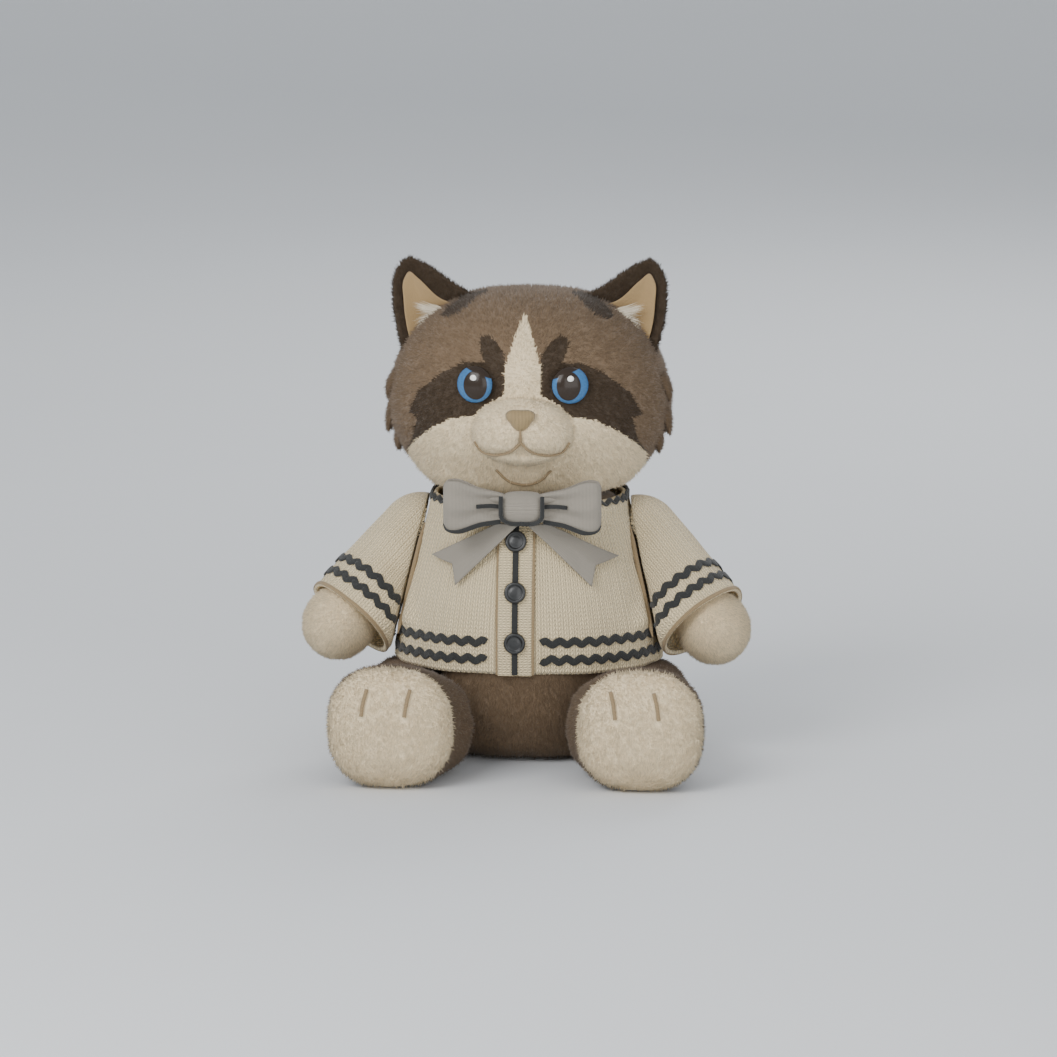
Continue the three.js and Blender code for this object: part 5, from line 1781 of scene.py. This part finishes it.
@dataclass
class Arm:
    """A stuffed arm with a cream paw, in a knitted sleeve with two rows of braid."""

    side: Side
    way: tuple[float, float, float] = (0.61926, -0.44233, -0.64874)
    shoulder_radius: float = 0.033
    cuff_radius: float = 0.0335
    length: float = 0.092
    fall: float = 0.0125
    seam_width: float = 0.0036
    seam_depth: float = 0.0021
    thickness: float = 0.0028
    wale: float = 0.0036
    wale_rise: float = 0.0005
    trims: tuple[float, float] = (0.016, 0.030)
    cardigan: Cardigan = field(default_factory=Cardigan)

    def __post_init__(self) -> None:
        """Works out the arm's own directions from the shoulder."""
        mirror = np.array([self.side.value, 1, 1])
        self.root = np.array(FORM.shoulder) * mirror
        self.down = unit(np.array(self.way) * mirror)
        self.out = np.array([self.side.value * math.cos(FORM.tilt), 0, math.sin(FORM.tilt)])
        self.first = unit(self.out - (self.out @ self.down) * self.down)
        self.second = np.cross(self.down, self.first)
        self.body = f"arm_{self.side.word}"

    def fullness(self, s: Array) -> Array:
        """How far loose cloth swells towards the body: enough to reach it, less again at the cuff."""
        apart = s * (self.down @ self.out) / (self.first @ self.out)
        loose = np.clip(apart - self.shoulder_radius + 0.0025, 0, self.fall)
        return loose * (1 - 0.45 * np.clip((s - 0.080) / 0.012, 0, 1))

    def tube(self, turn: Array, s: Array, grow: float | Array, clear: float = 0.0) -> Array:
        """The sleeve's outside at a turn round and a distance s down the arm.

        Above the shoulder it is a dome of radius R, below it a cone to the cuff, with two soft
        folds in the crook. Loose cloth swells towards the body, by its fullness along the arm times
        a bell round it. What would pass the flat of the torso is drawn out to it with a rounded
        corner.

        Args:
            turn: Turns round the arm, from the side away from the body.
            s: Distances down the arm from the shoulder joint.
            grow: How far outside the sleeve.
            clear: How much further off the flat to stay.

        Returns:
            The places.
        """
        r = self.shoulder_radius + (self.cuff_radius - self.shoulder_radius) * np.clip(s / self.length, 0, 1)
        r = np.where(s < 0, np.sqrt(np.maximum(self.shoulder_radius**2 - s**2, 0)), r)
        crook = np.exp(-((np.cos((turn - math.pi) / 2) - 1) ** 2) / 0.3)
        fold = 0.0022 * np.sin((s - 0.012) * 150) * np.exp(-(((s - 0.045) / 0.025) ** 2)) * crook
        ripple = 0.0007 * np.sin(turn * 5 + s * 60) * np.clip(s / self.length, 0, 1)
        inner = np.exp(-((1 + np.cos(turn)) ** 2) / 0.35)
        radius = (r + grow + self.fullness(s) * inner + np.where(s > 0, fold + ripple, 0))[..., None]
        round_way = np.cos(turn)[..., None] * self.first + np.sin(turn)[..., None] * self.second
        places = self.root + s[..., None] * self.down + radius * round_way
        stand = (places - self.root) @ self.out
        held = soft_floor(stand, FORM.gap + 0.0008 + clear, 0.0014)
        return places + (held - stand)[..., None] * self.out

    def sleeve(self, wardrobe: Wardrobe) -> None:
        """The knitted sleeve, its columns running down the arm."""
        width = 2 * math.pi * self.cuff_radius
        columns = int(width / self.wale) * 6 + 1
        dome = -self.shoulder_radius * np.cos(np.linspace(0, math.pi / 2, 14))[:-1]
        s = np.concatenate([dome, np.linspace(0, self.length, 40)])[:, None]
        turn = np.linspace(0, 2 * math.pi, columns)[None, :]
        across = np.linspace(0, width, columns)[None, :]
        edge = 0.0007 * np.exp(-(((s - self.length + 0.002) / 0.002) ** 2))
        fade = np.clip((s + self.shoulder_radius) / self.shoulder_radius, 0, 1)
        ridge = self.wale_rise * np.abs(np.sin(math.pi * across / self.wale)) * fade
        places = self.tube(turn + 0 * s, s + 0 * turn, ridge + edge)
        uv = np.stack(np.broadcast_arrays(across, self.length - s), axis=-1)
        name = f"sleeve_{self.side.word}"
        made = surface(name + "_knit", places, uv, away=self.root + self.down * 0.04 + self.out * 0.012)
        thicken(made, self.thickness)
        dress(made, wardrobe.knit, self.body, "cardigan_knit", name)

    def hoop(
        self,
        name: str,
        s: float,
        zigzag: bool,
        width: float,
        rise: float,
        material: bpy.types.Material,
    ) -> bpy.types.Object:
        """A strip round the sleeve at one distance down the arm."""
        turn = np.linspace(0, 2 * math.pi, 20 * 12 + 1)
        level = np.full(len(turn), s)
        slope = abs(self.down @ self.out) * self.cardigan.zigzag if zigzag else 0.0
        path = self.tube(turn, level, self.wale_rise, rise + slope)
        normals = unit(path - (self.root + s * self.down))
        if zigzag:
            waves = np.round(arc_length(path)[-1] / self.cardigan.zigzag_length)
            path = path + self.down * (self.cardigan.zigzag * slanting_wave(turn * waves))[:, None]
        piece = carried(name, path, normals, oval(width, rise), ring=True)
        dress(piece, material, self.body, "black_braid" if zigzag else "cardigan_knit")
        return piece

    @staticmethod
    def front_first(paths: list[Array]) -> list[Array]:
        """Two paths, the one further forward first."""
        return paths if paths[0][:, 1].mean() < paths[1][:, 1].mean() else paths[::-1]

    def armhole_seams(self, wardrobe: Wardrobe) -> None:
        """A tan piped seam on the body beside the front and the back of the sleeve.

        At distance s the rim's turn is the arccosine of -s (d . n) / (r (f . n)), with d down the
        arm, f its first direction and n the flat's normal.
        """
        s = np.linspace(0.002, 0.081, 40)
        radius = self.shoulder_radius + self.fullness(s)
        turn = np.arccos(np.clip(-s * (self.down @ self.out) / (radius * (self.first @ self.out)), -1, 1))
        sides = [self.tube(sign * turn, s, 0.0) for sign in (1, -1)]
        share = np.linspace(0, 1, 60)
        scale = np.minimum(1, np.minimum(share * 5 + 0.25, (1 - share) * 8 + 0.3))
        for word, rim in zip(("front", "back"), self.front_first(sides)):
            path = curve_through(rim[::3].tolist(), 60)
            path = path - (((path - self.root) @ self.out) + self.seam_depth)[:, None] * self.out
            away = unit(path - path.mean(axis=0) * [1, 0, 1] - [0, self.root[1], 0])
            section = oval(self.seam_width, self.seam_width)
            seam = carried(f"armhole_{word}_seam_{self.side.word}", path, away, section, scale=scale)
            dress(seam, wardrobe.thread, "torso", "cardigan_knit")

    def build(self, wardrobe: Wardrobe) -> None:
        """Builds and dresses the arm."""
        word = self.side.word
        arm = Stuffed(voxel=0.004, cap=0.002).from_filling(f"paw_{word}_plush", f"arm_stuffing_{word}")
        stands_for = (f"arm_cover_{word}", f"arm_stuffing_{word}")
        dress(arm, wardrobe.skin[Tone.CREAM], self.body, "cream_plush", *stands_for)

        def keep(at: Array) -> Array:
            """Pile on the paw only, not in the sleeve."""
            return ((at - self.root) @ self.down > self.length - 0.003).astype(float)

        pile = Pile(count=16000, seed=61, length=0.0038).grow(
            f"paw_{word}_pile", arm, combed(*self.down), one_tone(Tone.CREAM), keep, wardrobe
        )
        settle(pile, self.body, "cream_plush")
        self.sleeve(wardrobe)
        for row, up in zip(("lower", "upper"), self.trims):
            node = f"sleeve_trim_{row}_{word}"
            size = (self.cardigan.trim, self.cardigan.trim_rise)
            trim = self.hoop(node + "_braid", self.length - up, True, *size, wardrobe.braid)
            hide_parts(node)
        self.hoop(f"cuff_seam_{word}", self.length - 0.0016, False, 0.0032, 0.0015, wardrobe.thread)
        self.armhole_seams(wardrobe)


# ---------------------------------------------------------------- legs


@dataclass
class Leg:
    """A stuffed leg with brown pile, a cream foot and two sewn toe lines."""

    side: Side
    seam: float = -0.157
    sole_bulge: float = 0.020
    pile: Pile = Pile(count=44000, seed=71, length=0.0042)

    def tones(self, places: Array) -> Array:
        """Cream in front of a seam that curves back at the middle of the foot, brown behind."""
        low, high = (np.array(corner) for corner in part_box(f"foot_cover_{self.side.word}"))
        middle, half = (low + high) / 2, (high - low) / 2
        share = np.abs(places[:, [0, 2]] - middle[[0, 2]]) / half[[0, 2]]
        line = self.seam - self.sole_bulge * np.clip((share**2).sum(axis=1) - 0.55, 0, 1)
        order = list(Tone)
        return np.where(places[:, 1] < line, order.index(Tone.CREAM), order.index(Tone.BROWN))

    def toe_paths(self, skin: bpy.types.Object) -> list[tuple[Array, Array]]:
        """Two short sewn lines at the top of the foot."""
        low, high = (np.array(corner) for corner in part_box(f"foot_cover_{self.side.word}"))
        x, top = (low[0] + high[0]) / 2, high[2]
        lines = []
        for shift in (-0.019, 0.014):
            bend = 0.0025 * self.side.value
            line = [
                (x + shift - bend, top - 0.016),
                (x + shift, top - 0.026),
                (x + shift + bend * 0.6, top - 0.036),
            ]
            flat = curve_through(line, 24)
            path = np.column_stack([flat[:, 0], np.full(len(flat), -0.3), flat[:, 1]])
            lines.append(laid_on(skin, path, np.array([0.0, 1.0, 0.0]), 0.0008))
        return lines

    def build(self, wardrobe: Wardrobe) -> None:
        """Builds and dresses the leg."""
        word, body = self.side.word, f"leg_{self.side.word}"
        leg = Stuffed(cap=0.0025).from_filling(f"leg_{word}_plush", f"leg_stuffing_{word}")
        places = vertices_of(leg)
        places[:, 2] = np.maximum(places[:, 2], 0.0004)
        move_vertices(leg, places)
        leg.data.materials.clear()
        for tone in Tone:
            leg.data.materials.append(wardrobe.skin[tone])
        middles = np.empty(len(leg.data.polygons) * 3, np.float32)
        leg.data.polygons.foreach_get("center", middles)
        tones = self.tones(middles.reshape(-1, 3).astype(float))
        leg.data.polygons.foreach_set("material_index", tones.astype(np.int32))
        settle(leg, body, "brown_plush", f"leg_cover_{word}", f"foot_cover_{word}", f"leg_stuffing_{word}")
        toes = self.toe_paths(leg)
        sewn = np.concatenate([path for path, _ in toes])
        for i, (path, normals) in enumerate(toes):
            thread = carried(f"toe_{word}_{i}_thread", path, normals, oval(0.003, 0.0024))
            dress(thread, wardrobe.thread, body, "nose_thread")

        def keep(at: Array) -> Array:
            """No pile under the foot, at the hip's inner face or along the toe lines."""
            hip = (np.abs(at[:, 0]) < 0.066) & (at[:, 1] > -0.085)
            return ((at[:, 2] > 0.003) & ~hip & (nearness(at, sewn) > 0.0032)).astype(float)

        pile = self.pile.grow(f"leg_{word}_pile", leg, combed(0, -1, -0.5), self.tones, keep, wardrobe)
        settle(pile, body, "brown_plush")


@dataclass
class Tail:
    """The stuffed tail, which lies on the floor behind the seat, its root drawn up to the body's plush."""

    pile: Pile = Pile(count=14000, seed=81, length=0.0046)
    root_end: float = 0.112
    root_length: float = 0.036
    root_reach: float = 0.016

    def build(self, wardrobe: Wardrobe) -> None:
        """Builds and dresses the tail."""
        tail = Stuffed(voxel=0.004, cap=0.002).from_filling("tail_plush", "tail_stuffing")
        places = vertices_of(tail)
        near = np.clip((self.root_end - places[:, 1]) / self.root_length, 0, 1)
        places[:, 1] -= self.root_reach * near**2 * (3 - 2 * near)
        move_vertices(tail, places)
        dress(tail, wardrobe.skin[Tone.DARK], "tail", "dark_plush", "tail_cover", "tail_stuffing")
        way = combed(0.3, 1, -0.1)

        def above(at: Array) -> Array:
            """No pile under the tail."""
            return (at[:, 2] > 0.0025).astype(float)

        pile = self.pile.grow("tail_pile", tail, way, one_tone(Tone.DARK), above, wardrobe)
        settle(pile, "tail", "dark_plush")


# ---------------------------------------------------------------- studio


@dataclass
class Studio:
    """The floor, the lights and the camera."""

    azimuth: float = math.radians(4)
    elevation: float = math.radians(10)
    frame_width: float = 0.8456
    lens: float = 200.0
    sensor: float = 36.0
    aim: tuple[float, float, float] = (-0.0012, 0.0, 0.1767)
    wall: Colour = (0.80, 0.82, 0.84)

    def camera(self) -> None:
        """A long lens, level with the cat's chest and a little above it."""
        a, e = self.azimuth, self.elevation
        back = Vector((math.sin(a) * math.cos(e), -math.cos(a) * math.cos(e), math.sin(e)))
        data = bpy.data.cameras.new("camera")
        data.lens, data.sensor_width = self.lens, self.sensor
        eye = bpy.data.objects.new("camera", data)
        eye.location = Vector(self.aim) + back * (self.frame_width * self.lens / self.sensor)
        eye.rotation_mode = "QUATERNION"
        eye.rotation_quaternion = (-back).to_track_quat("-Z", "Y")
        data.clip_end = 60
        bpy.context.scene.collection.objects.link(eye)
        bpy.context.scene.camera = eye

    def floor(self) -> None:
        """A pale sweep: flat under the cat, and curved up into a wall far behind it."""
        x = np.linspace(-6, 6, 3)[None, :]
        along = np.linspace(0, 1, 60)[:, None]
        y = smooth_through([(0, -6), (0.4, 2.0), (0.6, 4.6), (0.8, 5.8), (1, 6)], along[:, 0])
        z = smooth_through([(0, 0), (0.4, 0), (0.6, 0.35), (0.8, 2.0), (1, 6)], along[:, 0])
        places = np.stack(np.broadcast_arrays(x, y, np.maximum(z, 0)), axis=-1)
        sweep = surface("floor", places, away=np.array([0, 9, -9]))
        material, graph, shader = principled("studio paper", 0.9)
        place = graph.node("ShaderNodeTexCoord").outputs["Object"]
        grain = graph.noise(place, 3.0)
        shade = tuple(0.97 * c for c in self.wall)
        graph.put(shader.inputs["Base Color"], graph.mix(grain, shade, self.wall))
        sweep.data.materials.append(material)

    def light(self, name: str, place: tuple, size: float, power: float) -> None:
        """One soft square light aimed at the cat's chest."""
        data = bpy.data.lights.new(name, "AREA")
        data.size, data.energy = size, power
        lamp = bpy.data.objects.new(name, data)
        lamp.location = place
        lamp.rotation_euler = (Vector((0, 0, 0.18)) - Vector(place)).to_track_quat("-Z", "Y").to_euler()
        bpy.context.scene.collection.objects.link(lamp)

    def build(self) -> None:
        """Builds the studio."""
        self.floor()
        self.camera()
        self.light("key", (-1.3, -2.2, 1.7), 1.6, 58)
        self.light("fill", (1.3, -2.6, 0.5), 2.4, 42)
        self.light("rim", (0.6, 2.2, 1.9), 1.4, 26)
        world = bpy.data.worlds.new("studio")
        world.use_nodes = True
        world.node_tree.nodes["Background"].inputs[0].default_value = (0.93, 0.96, 1.0, 1)
        world.node_tree.nodes["Background"].inputs[1].default_value = 0.62
        bpy.context.scene.world = world


def finish_hardware(wardrobe: Wardrobe) -> None:
    """Gives the hidden discs and washers of the frame their moulded plastic."""
    for name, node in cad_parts.items():
        if name.endswith(("_left", "_right", "_disc", "_washer")) and ("washer" in name or "disc" in name):
            node.data.materials.clear()
            node.data.materials.append(wardrobe.joint)


def main() -> None:
    """Builds the studio, then the cat from the torso outwards."""
    logging.basicConfig(level=logging.INFO, format="%(message)s")
    Studio().build()
    wardrobe = Wardrobe()
    finish_hardware(wardrobe)
    Torso().build(wardrobe)
    Cardigan().build(wardrobe)
    Bow().build(wardrobe)
    Head().build(wardrobe)
    for side in Side:
        Arm(side).build(wardrobe)
        Leg(side).build(wardrobe)
    Tail().build(wardrobe)


if __name__ == "__main__":
    main()
